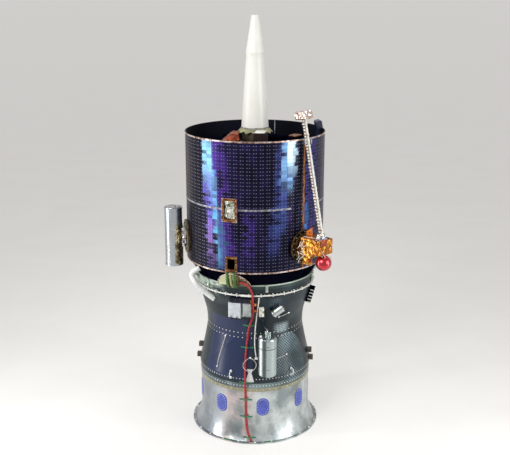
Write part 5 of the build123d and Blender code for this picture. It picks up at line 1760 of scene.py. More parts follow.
@dataclass(frozen=True)
class ElectronSensor:
    """The film-wrapped sensor on mast a, with its hinge bracket and the red ball."""

    body: str = "mast_a_tip"
    azimuth: float = BOOM_AZIMUTHS["a"]
    front: Face = Face(BOOM_AZIMUTHS["a"], 0.9845, 2.100)
    flap: Span = (0.090, 0.080)
    flap_wave: float = 0.004
    wire_radius: float = 0.0026
    wires: tuple[tuple[Triple, ...], ...] = (
        ((0.800, 1.985, -0.104), (0.775, 2.000, -0.118), (0.758, 2.004, -0.126),
         (0.745, 2.022, -0.136)),
        ((0.745, 2.016, -0.132), (0.752, 1.990, -0.124), (0.756, 1.966, -0.122),
         (0.744, 1.938, -0.136)),
        ((0.802, 1.980, -0.104), (0.780, 1.962, -0.114), (0.762, 1.942, -0.120),
         (0.750, 1.902, -0.124)),
        ((0.775, 2.086, -0.112), (0.784, 2.050, -0.116), (0.796, 2.018, -0.112),
         (0.815, 1.988, -0.102)),
        ((0.764, 2.114, -0.112), (0.765, 2.082, -0.124), (0.756, 2.060, -0.130),
         (0.745, 2.048, -0.134)),
        ((0.795, 2.126, -0.100), (0.780, 2.066, -0.118), (0.802, 2.040, -0.110),
         (0.786, 2.000, -0.118)),
        ((0.830, 2.092, -0.098), (0.806, 2.074, -0.112), (0.790, 2.090, -0.118),
         (0.768, 2.070, -0.124)),
        ((0.760, 2.112, -0.092), (0.780, 2.158, -0.088), (0.830, 2.160, -0.070),
         (0.880, 2.157, -0.040)),
        ((0.990, 2.060, -0.062), (0.999, 2.020, -0.040), (0.996, 1.990, -0.010),
         (0.989, 1.975, 0.030)))
    ball_radius: float = 0.076
    guard_gap: float = 0.0055
    guard_stretch: float = 1.16
    guard_radius: float = 0.0045
    collar_height: float = 1.9425
    collar_line: Line = ((0.0, 0.0), (0.030, 0.0), (0.034, 0.004), (0.034, 0.0125),
                         (0.0, 0.0125))

    def build(self) -> None:
        """Dresses the sensor and what it carries."""
        wrapped("electron_sensor", "electron_sensor_film", GOLD_FILM, self.body)
        paint_nodes(hinge_bracket=HINGE_METAL, detector_ball=BALL_RED)
        box = self.front.block("film_box", (-0.040, 0.030, 0.0), (0.076, 0.066, 0.014), 0.004)
        finish_piece(crumple(box, Wrap.TAUT, 0.004, 0.4), RED_BLANKET, self.body, FILM_ANGLE)
        screws = self.front.studs("film_box_screws", [(-0.07, 0.028), (0.02, 0.03),
                                                      (0.06, -0.03)], 0.001)
        finish_piece(screws, FASTENER, self.body)
        flap = sheet("orange_flap", (10, 10), self.flap_spot, 0.0012, 1.0)
        stand(flap, place(self.azimuth, 0.762, 2.186, 0.006), facing(self.azimuth))
        finish_piece(flap, ORANGE_FILM, self.body, 60.0)
        tail = block("film_tail", place(self.azimuth, 0.760, 1.950, -0.052),
                     facing(self.azimuth), (0.078, 0.130, 0.075), 0.012)
        finish_piece(crumple(tail, Wrap.SLACK, 0.006, 0.4), GOLD_FILM, self.body, FILM_ANGLE)
        wires = [rod("sensor_wire", [place(self.azimuth, *spot) for spot in run],
                     self.wire_radius) for run in self.wires]
        finish_piece(join(wires, "sensor_wires"), WHITE_SLEEVE, self.body, WIRE_ANGLE)
        self.add_ball_guard()

    def flap_spot(self, across: float, up: float) -> Vector:
        """Point of the orange flap, which narrows upward and waves a little.

        Args:
            across: Share of the width, from -0.5 to 0.5.
            up: Share of the height, from -0.5 to 0.5.

        Returns:
            The point, in the flap's own axes.
        """
        x, y = across * self.flap[0], up * self.flap[1]
        if y > 0:
            y *= 0.35 + 0.65 * (across + 0.5)
        return Vector((x, y, self.flap_wave * math.sin(x * 90 + y * 40)))

    def add_ball_guard(self) -> None:
        """Hangs the white wire loop round the ball, and the collar over it."""
        centre = middle("detector_ball")
        middle_height = low("detector_ball").z + self.ball_radius
        reach = centre.xy.length
        path = [place(self.azimuth, reach + 0.010, 1.9535, -0.035)]
        for degrees in range(-15, 136, 25):
            up, across = circle_spot((self.ball_radius + self.guard_gap) * self.guard_stretch,
                                     degrees)
            path.append(place(self.azimuth, reach + 0.012, middle_height + up, across))
        finish_piece(rod("ball_guard_wire", path, self.guard_radius), WHITE_SLEEVE, self.body,
                     WIRE_ANGLE)
        collar = turned("ball_collar", Vector((*centre.xy, self.collar_height)), UPRIGHT,
                        self.collar_line, 32)
        finish_piece(collar, STEEL, self.body)


@dataclass(frozen=True)
class MagnetometerBoom:
    """The folded boom with its two tubes, and the sensor wrapped in film."""

    body: str = "magnetometer_boom"
    azimuth: float = BOOM_AZIMUTHS["a"]
    root_reach: float = 0.925
    root_height: float = 2.184
    lean: float = 13.2
    length: float = 1.093
    sleeves: int = 10
    tube_shift: float = 0.0135
    knuckle: float = 0.0265
    knuckle_line: Line = ((0.0, -0.001), (0.0125, -0.001), (0.0125, 0.003),
                          (0.0105, 0.0045), (0.0, 0.0045))

    def along(self, run: float, shift: float = 0.0) -> Vector:
        """Point on the boom, run from its hinge."""
        up, inward = circle_spot(run, self.lean)
        return place(self.azimuth, self.root_reach - inward, self.root_height + up, shift)

    def build(self) -> None:
        """Dresses the boom."""
        paint_nodes(mag_boom=BOOM_WHITE)
        wrapped("mag_sensor", "mag_sensor_film", SENSOR_FILM, self.body, Wrap.SLACK, 0.004)
        side = around(self.azimuth)
        up = (self.along(1.0) - self.along(0.0)).normalized()
        turn = Matrix((side, up.cross(side), up)).transposed().to_4x4()
        pitch = self.length / (self.sleeves + 1)
        sleeves = [turned("sleeve", self.along(pitch * (number + 1), self.tube_shift), turn,
                          band_line(0.0115, 0.0130, 0.020), 16)
                   for number in range(self.sleeves)]
        finish_piece(join(sleeves, "boom_sleeves"), RADOME, self.body)
        caps = [turned("knuckle_cap", self.along(0.0, way * self.knuckle),
                       facing(self.azimuth + way * 90), self.knuckle_line)
                for way in (-1, 1)]
        finish_piece(join(caps, "knuckle_caps"), STEEL, self.body)


@dataclass(frozen=True)
class GammaSensor:
    """The upright silver can on mast c, with its foil lips and its bracket."""

    body: str = "mast_c_tip"
    azimuth: float = BOOM_AZIMUTHS["c"]
    reach: float = 0.825
    film_azimuth: float = 66.0
    film_edge: float = 0.052
    film_line: Line = ((0.086, 0.020), (0.0915, 0.020), (0.0925, 0.200), (0.0915, 0.420),
                       (0.086, 0.420))
    film_thickness: float = 0.0070
    lip_overlap: float = 0.006
    top_lip: Line = ((0.080, -0.034), (0.0905, -0.0272), (0.0935, 0.0), (0.0900, 0.008),
                     (0.0800, 0.008))
    foot_lip: Line = ((0.080, 0.0), (0.0905, 0.0), (0.0935, 0.0088), (0.0900, 0.022),
                      (0.0800, 0.022))
    cap_line: Line = ((0.0, 0.0), (0.078, 0.0), (0.078, 0.003), (0.072, 0.005),
                      (0.030, 0.005), (0.026, 0.008), (0.0, 0.008))
    band_rises: Span = (0.20, 0.38)

    def build(self) -> None:
        """Dresses the can, its lips, its bands and the bracket."""
        paint_nodes(gamma_sensor=CAN_FOIL)
        wrapped("gamma_bracket", "gamma_bracket_film", SILVER_FILM, self.body, Wrap.SLACK)
        axis = place(self.azimuth, self.reach, 0.0)
        base, top = (axis + UP * corner("gamma_sensor").z for corner in (low, high))
        overlap = UP * self.lip_overlap
        self.add_lip("foil_lip_0", top - overlap, WHITE_FILM, self.top_lip)
        self.add_lip("foil_lip_1", base + overlap, SILVER_FILM, self.foot_lip)
        film = turned("can_side_film", base, UPRIGHT, self.film_line, 96)
        with editing(film):
            select_faces(film, lambda face: outward(self.film_azimuth).dot(
                face.calc_center_median() - axis) < self.film_edge)
            bpy.ops.mesh.delete(type="FACE")
        modify(film, "SOLIDIFY", thickness=self.film_thickness, offset=-1.0)
        finish_piece(crumple(film, Wrap.TAUT, 0.0035, 0.4), DARK_GOLD, self.body, FILM_ANGLE)
        finish_piece(turned("can_cap", top, UPRIGHT, self.cap_line, 48), SILVER_FILM, self.body)
        bands = [turned("can_band", base + UP * rise, UPRIGHT,
                        bead_line(0.083, 0.0866, 0.0872, 0.007, 0.007), 64)
                 for rise in self.band_rises]
        finish_piece(join(bands, "can_bands"), STEEL, self.body)

    def add_lip(self, name: str, at: Vector, film: Film, line: Line) -> None:
        """Wraps one end of the can in a crumpled lip of film.

        Args:
            name: Name of the piece.
            at: Middle of that end.
            film: Its film.
            line: Its profile.
        """
        lip = crumple(turned(name, at, UPRIGHT, line, 64), Wrap.TAUT, 0.0035, 0.4)
        finish_piece(lip, film, self.body, FILM_ANGLE)


@dataclass(frozen=True)
class ParticleSensors:
    """The cube and the two tubes on mast b."""

    body: str = "mast_b_tip"
    face: Face = Face(BOOM_AZIMUTHS["b"], 0.876, 2.050)
    aperture_line: Line = ((0.0, -0.006), (0.026, -0.006), (0.026, 0.005), (0.023, 0.006),
                           (0.019, 0.001), (0.0, 0.0))

    def build(self) -> None:
        """Wraps the cube and the tubes, and adds the cube's aperture."""
        wrapped("particle_cube", "particle_cube_film", PINK_SILVER, self.body)
        wrapped("neutron_tubes", "neutron_tubes_film", SILVER_FILM, self.body, Wrap.TAUT, 0.004)
        finish_piece(self.face.turned("cube_aperture", (0, 0, 0), self.aperture_line), STEEL,
                     self.body)


@dataclass(frozen=True)
class SeparationPlane:
    """The black cone, the clamp band and the umbilical cover."""

    cone_tilt: float = 33.28
    cone_foot: float = CONE_LOW + 0.032
    cone_rows: tuple[tuple[str, float], ...] = (
        ("cone_screws_low", 0.012), ("cone_screws_high", 0.145))
    cover_azimuth: float = -18.5
    cover_radius: float = 0.167
    cover_depth: float = 0.028
    screw_radius: float = 0.152
    rim_radius: float = 0.0055
    plug: Triple = (0.106, 0.126, 0.006)
    plug_rise: float = 0.0835
    rib: Triple = (0.007, 0.108, 0.006)
    ribs: Triple = (-0.034, -0.012, 0.012)
    hoses: tuple[Span, ...] = ((-0.036, 0.016), (0.0, 0.013), (0.034, 0.015))

    def build(self) -> None:
        """Dresses the cone, the band, the duct and the cover."""
        paint_nodes(payload_cone=BLACK, clamp_band=BandMetal(), cone_posts=BLACK,
                    stage_top_ring=BandMetal("top_ring_metal", (0.016, 0.028, 0.030),
                                             edge=9.0),
                    umbilical_cover=COVER_LIT_SHADED, film_duct=WHITE_DUCT)
        for name, run in self.cone_rows:
            up, grow = circle_spot(run, self.cone_tilt)
            BoltCircle(name, SHELL_TOP_RADIUS + grow, self.cone_foot + up, 72, 0.0036, 0.003,
                       2.5, self.cone_tilt).build(BLACK)
        BoltCircle("top_ring_screws", SHELL_TOP_RADIUS, SHELL_TOP + 0.022, 60, 0.0036, 0.003,
                   3.0).build(DARK_SCREW)
        BoltCircle("clamp_tab_screws", SHELL_TOP_RADIUS + 0.023, SHELL_TOP + 0.032, 6, 0.007,
                   0.005, 10.8).build(STEEL)
        foot = Face(self.cover_azimuth, SHELL_TOP_RADIUS, self.cone_foot, self.cone_tilt).at(
            off=self.cover_depth)
        self.dress_cover(Face(self.cover_azimuth, foot.xy.length, foot.z, self.cone_tilt))

    def dress_cover(self, face: Face) -> None:
        """Puts the light rim, the plug with its ribs and hoses, and the screws on the cover.

        Args:
            face: Outer face of the cover's plate, with its origin at the cone's foot.
        """
        rim = [(*circle_spot(self.cover_radius, degrees), -0.002)
               for degrees in range(0, 181, 10)]
        finish_piece(face.rod("cover_rim", rim, self.rim_radius), TRIM)
        plug = face.block("cover_plug", (0.0, self.plug_rise, 0.024), self.plug, 0.003, 0.010)
        finish_piece(plug, PLUG_GREEN)
        ribs = [face.block("plug_rib", (across, self.plug_rise, 0.028), self.rib)
                for across in self.ribs]
        finish_piece(join(ribs, "plug_ribs"), PALE_OLIVE)
        top = place(self.cover_azimuth - 0.8, DRUM_RADIUS + 0.017, DRUM_LOW + 0.010)
        left, pale, right = (rod("plug_hose", [
            face.at(x, 0.030, 0.040), face.at(x, 0.100, 0.052),
            top + around(self.cover_azimuth) * x], radius) for x, radius in self.hoses)
        finish_piece(join([left, right], "plug_hoses"), PLUG_GREEN)
        pale.name = "plug_hose_pale"
        finish_piece(pale, PALE_OLIVE)
        spots = [circle_spot(self.screw_radius, degrees) for degrees in range(8, 176, 16)]
        finish_piece(face.studs("cover_screws", spots, 0.0), FASTENER)


@dataclass(frozen=True)
class StageShell:
    """The waisted shell: laminate, rows of fasteners, handles and small loops of wire."""

    rows: tuple[tuple[str, float, int], ...] = (
        ("waist_screws_low", WAIST_HEIGHT - 0.015, 68), ("waist_screws_high", 1.125, 68),
        ("knee_screws", SHELL_LOW + 0.050, 108), ("bell_screws", SHELL_TOP - 0.012, 90))
    handle_azimuths: Span = (-24.8, 39.3)
    handle_height: float = 0.700
    handle_half: float = 0.034
    handle_radius: float = 0.0055
    handle_line: Line = ((0.0, 0.0), (0.014, 0.0), (0.014, 0.004), (0.010, 0.007),
                         (0.0, 0.007))
    lanyard_radius: float = 0.0024
    lanyards: tuple[tuple[float, tuple[Triple, ...]], ...] = (
        (-5.2, ((-4.8, 0.880, 0.004), (-1.0, 0.862, 0.018), (1.2, 0.820, 0.024),
                (-1.0, 0.776, 0.024), (-5.0, 0.758, 0.022), (-9.6, 0.780, 0.040),
                (-11.8, 0.820, 0.040), (-9.6, 0.862, 0.040), (-5.6, 0.882, 0.004))),
        (29.0, ((21.5, 0.862, 0.004), (26.5, 0.864, 0.010), (31.0, 0.870, 0.010),
                (36.2, 0.878, 0.004))),
        (-37.0, ((-36.5, 1.060, 0.004), (-37.6, 0.990, 0.016), (-39.6, 0.900, 0.018),
                 (-41.8, 0.800, 0.012), (-42.4, 0.740, 0.004))),
        (33.0, ((27.0, 1.288, 0.004), (31.0, 1.296, 0.010), (35.5, 1.304, 0.010),
                (39.5, 1.312, 0.004))))
    tape_azimuth: float = -5.2
    ring_clearance: float = 0.008
    ties: int = 32
    bundle: tuple[float, ...] = (-13.0, -9.5, -6.0, -2.1)

    def build(self) -> None:
        """Dresses the shell and its rings."""
        foot = ShellLaminate("foot_laminate", ground=(0.08, 0.11, 0.12),
                             sheen=(0.26, 0.35, 0.36), panel_rise=(0.1, 0.11))
        paint_nodes(interstage_shell=ShellLaminate(), foot_ring=foot, joint_band=OLIVE,
                    motor_ring=MOTOR_METAL, kick_motor=MOTOR_METAL)
        for name, height, count in self.rows:
            BoltCircle(name, shell_radius(height) - 0.0004, height, count, 0.0052, 0.003,
                       1.3).build()
        BoltCircle("foot_screws", 0.566, SHELL_LOW - 0.025, 108, 0.0055, 0.0035, 1.6).build()
        BoltCircle("band_screws", 0.564, ADAPTER_TOP + 0.018, 54, 0.0045, 0.003, 2.0).build()
        self.add_handles()
        self.add_lanyards()
        tape = sheet("crinkled_tape", (12, 12), self.tape_spot, 0.0010)
        finish_piece(tape, WHITE_FILM, angle=20.0)
        self.add_ring()

    def add_handles(self) -> None:
        """Adds the two white handles near the knee, with their bases."""
        half = self.handle_half
        path = ((0, -half, 0.0), (0, -half, 0.022), (0, -0.026, 0.030), (0, 0.026, 0.030),
                (0, half, 0.022), (0, half, 0.0))
        handles, bases = [], []
        for azimuth in self.handle_azimuths:
            face = Face(azimuth, shell_radius(self.handle_height), self.handle_height)
            handles.append(face.rod("handle_bar", path, self.handle_radius))
            bases += [face.turned("handle_base", (0, up, -0.001), self.handle_line, 20)
                      for up in (-half, half)]
        finish_piece(join(handles, "handles"), RADOME, angle=WIRE_ANGLE)
        finish_piece(join(bases, "handle_bases"), STEEL)

    def add_lanyards(self) -> None:
        """Adds the lanyards and the looped wire that are taped to the shell."""
        runs = [(facing_azimuth, [place(azimuth, shell_radius(height) + off, height)
                                  for azimuth, height, off in spots])
                for facing_azimuth, spots in self.lanyards]
        wires = [rod("lanyard", run, self.lanyard_radius) for _, run in runs]
        finish_piece(join(wires, "taped_lanyards"), WHITE_SLEEVE, angle=WIRE_ANGLE)
        anchors = [stud("anchor", run[end] - outward(azimuth) * 0.006, facing(azimuth), 0.009,
                        0.010, 12) for azimuth, run in runs for end in (0, -1)]
        finish_piece(join(anchors, "lanyard_anchors"), STEEL)

    def tape_spot(self, across: float, up: float) -> Vector:
        """Point of the crinkled triangle of clear film on the knee.

        Args:
            across: Share of the width, from -0.5 to 0.5.
            up: Share of the height, from -0.5 to 0.5.

        Returns:
            The point.
        """
        wide = 0.030 + 0.075 * abs(up - 0.18) ** 0.8
        height = 0.706 + 0.130 * up
        lift = 0.0035 + 0.003 * math.sin(630 * across * wide) * math.cos(height * 160)
        return place(self.tape_azimuth, shell_radius(height) + lift, height, across * wide)

    def add_ring(self) -> None:
        """Adds the harness ring's ties, its second wire and its taped bundle."""
        paint_nodes(harness_ring=WHITE_SLEEVE)
        height = middle("harness_ring").z - 0.005
        reach = SHELL_TOP_RADIUS + self.ring_clearance
        finish_piece(hoop("harness_second_wire", reach - 0.001, height - 0.012, 0.0035),
                     BLUE_GREY, angle=60.0)
        tie = turned("harness_tie", place(0.0, reach, height), facing(90.0),
                     band_line(0.0055, 0.0078, 0.003), 16)
        finish_piece(ring_of(tie, self.ties), WHITE_SLEEVE)
        bundle = [rod("taped_bundle", [place(azimuth, reach + 0.014, height + 0.006 * number)
                                       for azimuth in self.bundle], 0.0055)
                  for number in range(3)]
        finish_piece(join(bundle, "white_tape_bundle"), RADOME, angle=WIRE_ANGLE)


@dataclass(frozen=True)
class StageBoxes:
    """The boxes, the bottle and the brackets on the bell and the leg of the stage."""

    control: Face = Face(-19.2, 0.612, 1.4015)
    control_size: Span = (0.126, 0.153)
    relay: Face = Face(-7.6, 0.606, 1.409)
    relay_size: Span = (0.080, 0.138)
    plug_line: Line = ((0.0, 0.0), (0.0105, 0.0), (0.0105, 0.006), (0.0085, 0.007),
                       (0.0085, 0.016), (0.0065, 0.018), (0.0, 0.018))
    lead_radius: float = 0.0035
    shelf: Face = Face(-14.0, 0.618, 1.507)
    clip: Triple = (0.016, 0.026, 0.010)
    clips: tuple[float, ...] = (-0.08, -0.03, 0.02, 0.07)
    shelf_screws: tuple[float, ...] = (-0.09, -0.055, 0.0, 0.045, 0.09)
    connector: Face = Face(6.3, SHELL_TOP_RADIUS + 0.003, 1.380)
    sockets: Line = ((-0.010, 0.026), (0.010, 0.004), (-0.010, -0.024))
    socket_line: Line = ((0.0, 0.0), (0.0085, 0.0), (0.0085, 0.008), (0.006, 0.011),
                         (0.0, 0.011))
    loop: tuple[Triple, ...] = (
        (-0.004, -0.040, 0.006), (-0.004, -0.066, 0.004), (0.020, -0.078, 0.000),
        (0.036, -0.050, 0.000), (0.030, -0.010, 0.002), (0.018, 0.014, 0.006))
    loop_radius: float = 0.0032
    clamp: Triple = (0.022, 0.026, 0.014)
    clamp_azimuth: float = -2.0
    clamps: tuple[Span, ...] = (
        (1.500, -0.024), (1.462, 0.022), (1.425, -0.022), (1.392, 0.024))
    fin_azimuth: float = 78.0
    fin_drop: float = 0.157
    fins: int = 5
    fin_stack: float = 0.170
    fin_tip: Triple = (0.0030, 0.011, 0.040)
    strap_heights: Span = (0.835, 1.075)
    weld_rise: float = 0.204
    buckle: Triple = (0.022, 0.016, 0.008)
    buckle_azimuth: float = 4.0
    valves: tuple[Span, ...] = ((-0.012, 0.040), (0.020, 0.052))
    valve_line: Line = ((0.0, 0.0), (0.0125, 0.0), (0.0125, 0.052), (0.0145, 0.054),
                        (0.0145, 0.064), (0.009, 0.066), (0.0, 0.066))
    vent_shift: float = -0.066
    vent_drop: float = 0.040
    vent_line: Line = ((0.0, -0.006), (0.012, -0.006), (0.012, 0.014), (0.009, 0.018),
                       (0.0, 0.018))
    pipe_radius: float = 0.005
    cylinder_azimuth: float = 22.3
    cylinder_drop: float = 0.177
    cylinder_slant: float = 52.0
    cylinder_off: float = 0.0463
    cylinder_half: float = 0.056
    cylinder_line: Line = ((0.0, -0.002), (0.034, -0.002), (0.034, 0.003), (0.028, 0.006),
                           (0.008, 0.006), (0.008, 0.012), (0.0, 0.012))
    green_plug: Triple = (0.034, 0.026, 0.022)

    def build(self) -> None:
        """Dresses the boxes and the bottle."""
        paint_nodes(control_box=LIGHT_BOX, relay_box=GREY_BOX, cable_shelf=BLUE_GREY,
                    connector_block=WHITE_SLEEVE, finned_bracket=BLACK,
                    leg_brackets=DARK_BRACKET, drop_clamp=STEEL, harness_drop=WHITE_SLEEVE,
                    aslant_cylinder=SMALL_TUBE)
        self.dress_box("control_box", self.control, self.control_size, LIGHT_BOX)
        self.dress_box("relay_box", self.relay, self.relay_size, GREY_BOX)
        self.dress_shelf()
        self.dress_connector()
        self.dress_fins()
        self.dress_bottle()
        self.dress_cylinder()

    def on_bell(self, azimuth: float, drop: float) -> Face:
        """Slope of the bell at an azimuth, drop below the shell's top."""
        height = SHELL_TOP - drop
        return Face(azimuth, shell_radius(height), height, BELL_TILT)

    def dress_box(self, name: str, face: Face, size: Span,
                  finish: Paint) -> None:
        """Adds a lid with screws, two plugs and their leads to a box.

        Args:
            name: Name of the box.
            face: Its outer face.
            size: Width and height of that face.
            finish: Finish of the box.
        """
        width, height = size
        finish_piece(face.block(f"{name}_lid", (0, 0.012, 0),
                                (width - 0.014, height - 0.042, 0.003), 0.001, 0.010), finish)
        spots = [(x * (width / 2 - 0.011), 0.012 + y * (height / 2 - 0.026))
                 for x in (-1, 0, 1) for y in (-1, 0, 1) if x or y]
        finish_piece(face.studs(f"{name}_screws", spots, 0.003, 0.0035), FASTENER)
        sides, foot = (-width * 0.24, width * 0.24), -height / 2
        plugs = [face.turned("plug", (x, foot + 0.014, 0.0), self.plug_line, 20)
                 for x in sides]
        finish_piece(join(plugs, f"{name}_plugs"), GREY_BOX)
        leads = [face.rod("lead", [(x, foot + 0.014, 0.017), (x * 0.9, foot + 0.004, 0.026),
                                   (x * 0.7, foot - 0.012, 0.006),
                                   (x * 0.6, foot - 0.016, -0.020)], self.lead_radius)
                 for x in sides]
        finish_piece(join(leads, f"{name}_leads"), BLUE_GREY, angle=WIRE_ANGLE)

    def dress_shelf(self) -> None:
        """Adds the clips and the screws of the cable shelf."""
        clips = [self.shelf.block("clip", (x, 0.004, 0.0), self.clip, 0.003)
                 for x in self.clips]
        finish_piece(join(clips, "shelf_clips"), BLUE_GREY)
        spots = [(x, -0.015) for x in self.shelf_screws]
        finish_piece(self.shelf.studs("shelf_screws", spots, 0.0, 0.0035), DARK_SCREW)

    def dress_connector(self) -> None:
        """Adds the socket caps, the dark loop and the clamps beside the cable."""
        caps = [self.connector.turned("socket_cap", (x, up, 0.0), self.socket_line, 16)
                for x, up in self.sockets]
        finish_piece(join(caps, "socket_caps"), PALE_OLIVE)
        finish_piece(self.connector.rod("socket_loop", self.loop, self.loop_radius), BLUE_GREY,
                     angle=WIRE_ANGLE)
        clamps = [Face(self.clamp_azimuth, shell_radius(height) + 0.016, height).block(
            "cable_clamp", (shift, 0.0, 0.0), self.clamp, 0.003, 0.004)
            for height, shift in self.clamps]
        finish_piece(join(clamps, "cable_clamps"), GOLD_FILM)

    def dress_fins(self) -> None:
        """Tips the slanted fins with white."""
        face = self.on_bell(self.fin_azimuth, self.fin_drop)
        rises = [self.fin_stack * ((number + 0.5) / self.fins - 0.5)
                 for number in range(self.fins)]
        tips = [face.block("fin_tip", (-0.0268, rise - 0.0150, 0.018), self.fin_tip, 0.001)
                for rise in rises]
        finish_piece(join(tips, "fin_tips"), RADOME)

    def dress_bottle(self) -> None:
        """Adds the straps, the weld, the valves and the pipe of the pressure bottle."""
        paint_nodes(pressure_bottle=BOTTLE_METAL, bottle_saddles=STEEL)
        axis = place(BOTTLE_AZIMUTH, BOTTLE_REACH, 0.0)
        side = around(BOTTLE_AZIMUTH)
        base, top = (axis + UP * corner("pressure_bottle").z for corner in (low, high))
        straps = [turned("strap", axis + UP * height, UPRIGHT,
                         band_line(0.0895, 0.0912, 0.010), 64) for height in self.strap_heights]
        finish_piece(join(straps, "bottle_straps"), BOTTLE_METAL)
        finish_piece(turned("bottle_weld", base + UP * self.weld_rise, UPRIGHT,
                            bead_line(0.0890, 0.0905, 0.0907, 0.004, 0.002), 64), BOTTLE_METAL)
        buckles = [block("buckle", axis + outward(self.buckle_azimuth) * 0.091 + UP * height,
                         facing(self.buckle_azimuth), self.buckle, 0.002, 0.003)
                   for height in self.strap_heights]
        finish_piece(join(buckles, "strap_buckles"), SMALL_TUBE)
        valves = [turned("bottle_valve", top + side * shift - UP * drop, UPRIGHT,
                         self.valve_line, 20) for shift, drop in self.valves]
        finish_piece(join(valves, "bottle_valves"), SMALL_TUBE)
        vent = turned("bottle_vent", top + side * self.vent_shift - UP * self.vent_drop,
                      UPRIGHT, self.vent_line, 20)
        finish_piece(vent, RADOME)
        pipe = [top - UP * 0.004, top + UP * 0.020, place(9.5, 0.590, top.z + 0.030),
                place(9.0, 0.530, top.z + 0.022),
                place(9.0, shell_radius(top.z) - 0.004, top.z + 0.022)]
        finish_piece(rod("bottle_pipe", pipe, self.pipe_radius), STEEL, angle=WIRE_ANGLE)

    def dress_cylinder(self) -> None:
        """Adds the plug and the end caps of the cylinder that lies aslant."""
        face = self.on_bell(self.cylinder_azimuth, self.cylinder_drop)
        axis = face.turn @ Vector((*circle_spot(1.0, self.cylinder_slant), 0))
        centre = face.at(off=self.cylinder_off)
        turn = axis.to_track_quat("Z", "Y").to_matrix().to_4x4()
        across = axis.cross(face.turn @ UP)
        plug = block("green_plug", centre - axis * 0.030 - across * 0.036, face.turn,
                     self.green_plug, 0.004, 0.004)
        finish_piece(plug, PLUG_GREEN)
        ends = ((self.cylinder_half, turn),
                (-self.cylinder_half, turn @ Matrix.Rotation(math.pi, 4, "X")))
        caps = [turned("cylinder_cap", centre + axis * end, way, self.cylinder_line, 32)
                for end, way in ends]
        finish_piece(join(caps, "cylinder_caps"), STEEL)


@dataclass(frozen=True)
class ServiceCable:
    """The red cable down the front of the stack, with bands of green tape.

    A band has its azimuth, its height and the reach of the wall that it sticks to, or 0
    where that is the shell.
    """

    bands: tuple[Triple, ...] = (
        (-6.4, 1.211, 0.0), (-8.7, 0.981, 0.0), (-9.7, 0.632, 0.566), (-9.4, 0.441, 0.560),
        (-9.2, 0.255, 0.560), (-5.3, 0.058, 0.622))
    band_size: Span = (0.130, 0.015)
    wall_gap: float = 0.0015
    cable_lift: float = 0.0275
    cable_half: float = 0.012
    shoulder: float = 0.022
    ride_up: float = 0.28

    def build(self) -> None:
        """Paints the cable and its foot, and adds its bands."""
        paint_nodes(service_cable=CABLE_RED, cable_foot=STEEL)
        strips = [self.tape_over(azimuth, height, reach or shell_radius(height))
                  for azimuth, height, reach in self.bands]
        finish_piece(join(strips, "cable_tapes"), GREEN_TAPE, angle=60.0)

    def tape_over(self, azimuth: float, height: float, reach: float) -> Mesh:
        """A strip of tape that runs over the cable and sticks to the wall on both sides.

        Args:
            azimuth: Azimuth of the cable there.
            height: Height of the strip.
            reach: Reach of the wall.

        Returns:
            The strip.
        """
        def spot(across: float, up: float) -> Vector:
            """Point of the strip, level along the wall and raised over the cable."""
            run = across * self.band_size[0]
            share = min(max((abs(run) - self.cable_half) / self.shoulder, 0.0), 1.0)
            lift = self.wall_gap + self.cable_lift * (1 - share * share * (3 - 2 * share))
            rise = up * self.band_size[1] + self.ride_up * lift + 0.0006 * math.sin(run * 90)
            return place(azimuth + math.degrees(run / reach), reach + lift, height + rise)

        return sheet("cable_tape", (28, 2), spot, 0.0010)


@dataclass(frozen=True)
class BaseAdapter:
    """The flared adapter: bolts, oval covers and bits of tape."""

    covers: int = 8
    first_cover: float = 8.1
    cover_middle: float = 0.360
    cover_size: Span = (0.128, 0.190)
    wall: float = 0.560
    rim_proud: float = 0.0022
    bolts: int = 24
    bolt_circle: float = 0.644
    flange_top: float = 0.014
    washer_line: Line = ((0.0, 0.0), (0.0115, 0.0), (0.0115, 0.0015), (0.0108, 0.002),
                         (0.0, 0.002))
    bead_radius: float = 0.0022
    bead_grow: float = -0.005
    screw_grow: float = -0.012
    tapes: tuple[Span, ...] = ((-24.0, 0.10), (12.0, 0.09))

    def build(self) -> None:
        """Dresses the adapter with a bolt and washer at each hole of the flange."""
        paint_nodes(base_adapter=ALUMINIUM, access_covers=COVER_BLUE)
        washer = turned("flange_washer", place(0.0, self.bolt_circle, self.flange_top), UPRIGHT,
                        self.washer_line, 20)
        finish_piece(ring_of(washer, self.bolts), STEEL)
        BoltCircle("flange_bolts", self.bolt_circle, self.flange_top + 0.002, self.bolts,
                   0.0092, 0.0064, upward=True).build()
        rim = rod("cover_beads", self.rim_points(self.bead_grow, 36), self.bead_radius,
                  closed=True)
        finish_piece(ring_of(rim, self.covers), BEAD_BLUE, angle=60.0)
        screws = [stud("cover_screw", point, facing(self.first_cover), 0.0034, 0.0026)
                  for point in self.rim_points(self.screw_grow, 18)]
        finish_piece(ring_of(join(screws, "cover_rim_screws"), self.covers), FASTENER)
        strips = [block("tape", place(azimuth, 0.642, 0.0142), facing(azimuth, -90.0),
                        (width, 0.022, 0.003), 0.001) for azimuth, width in self.tapes]
        finish_piece(join(strips, "flange_tapes"), GREEN_TAPE)

    def rim_points(self, grow: float, count: int) -> list[Vector]:
        """Points round the first cover, on the wall of the adapter.

        Args:
            grow: How far outside its edge they lie.
            count: Number of points.

        Returns:
            The points.
        """
        points = []
        for number in range(count):
            cosine, sine = circle_spot(1.0, number * 360 / count)
            across = (self.cover_size[0] / 2 + grow) * cosine
            up = (self.cover_size[1] / 2 + grow) * sine
            points.append(place(self.first_cover + math.degrees(across / self.wall),
                                self.wall + self.rim_proud, self.cover_middle + up))
        return points


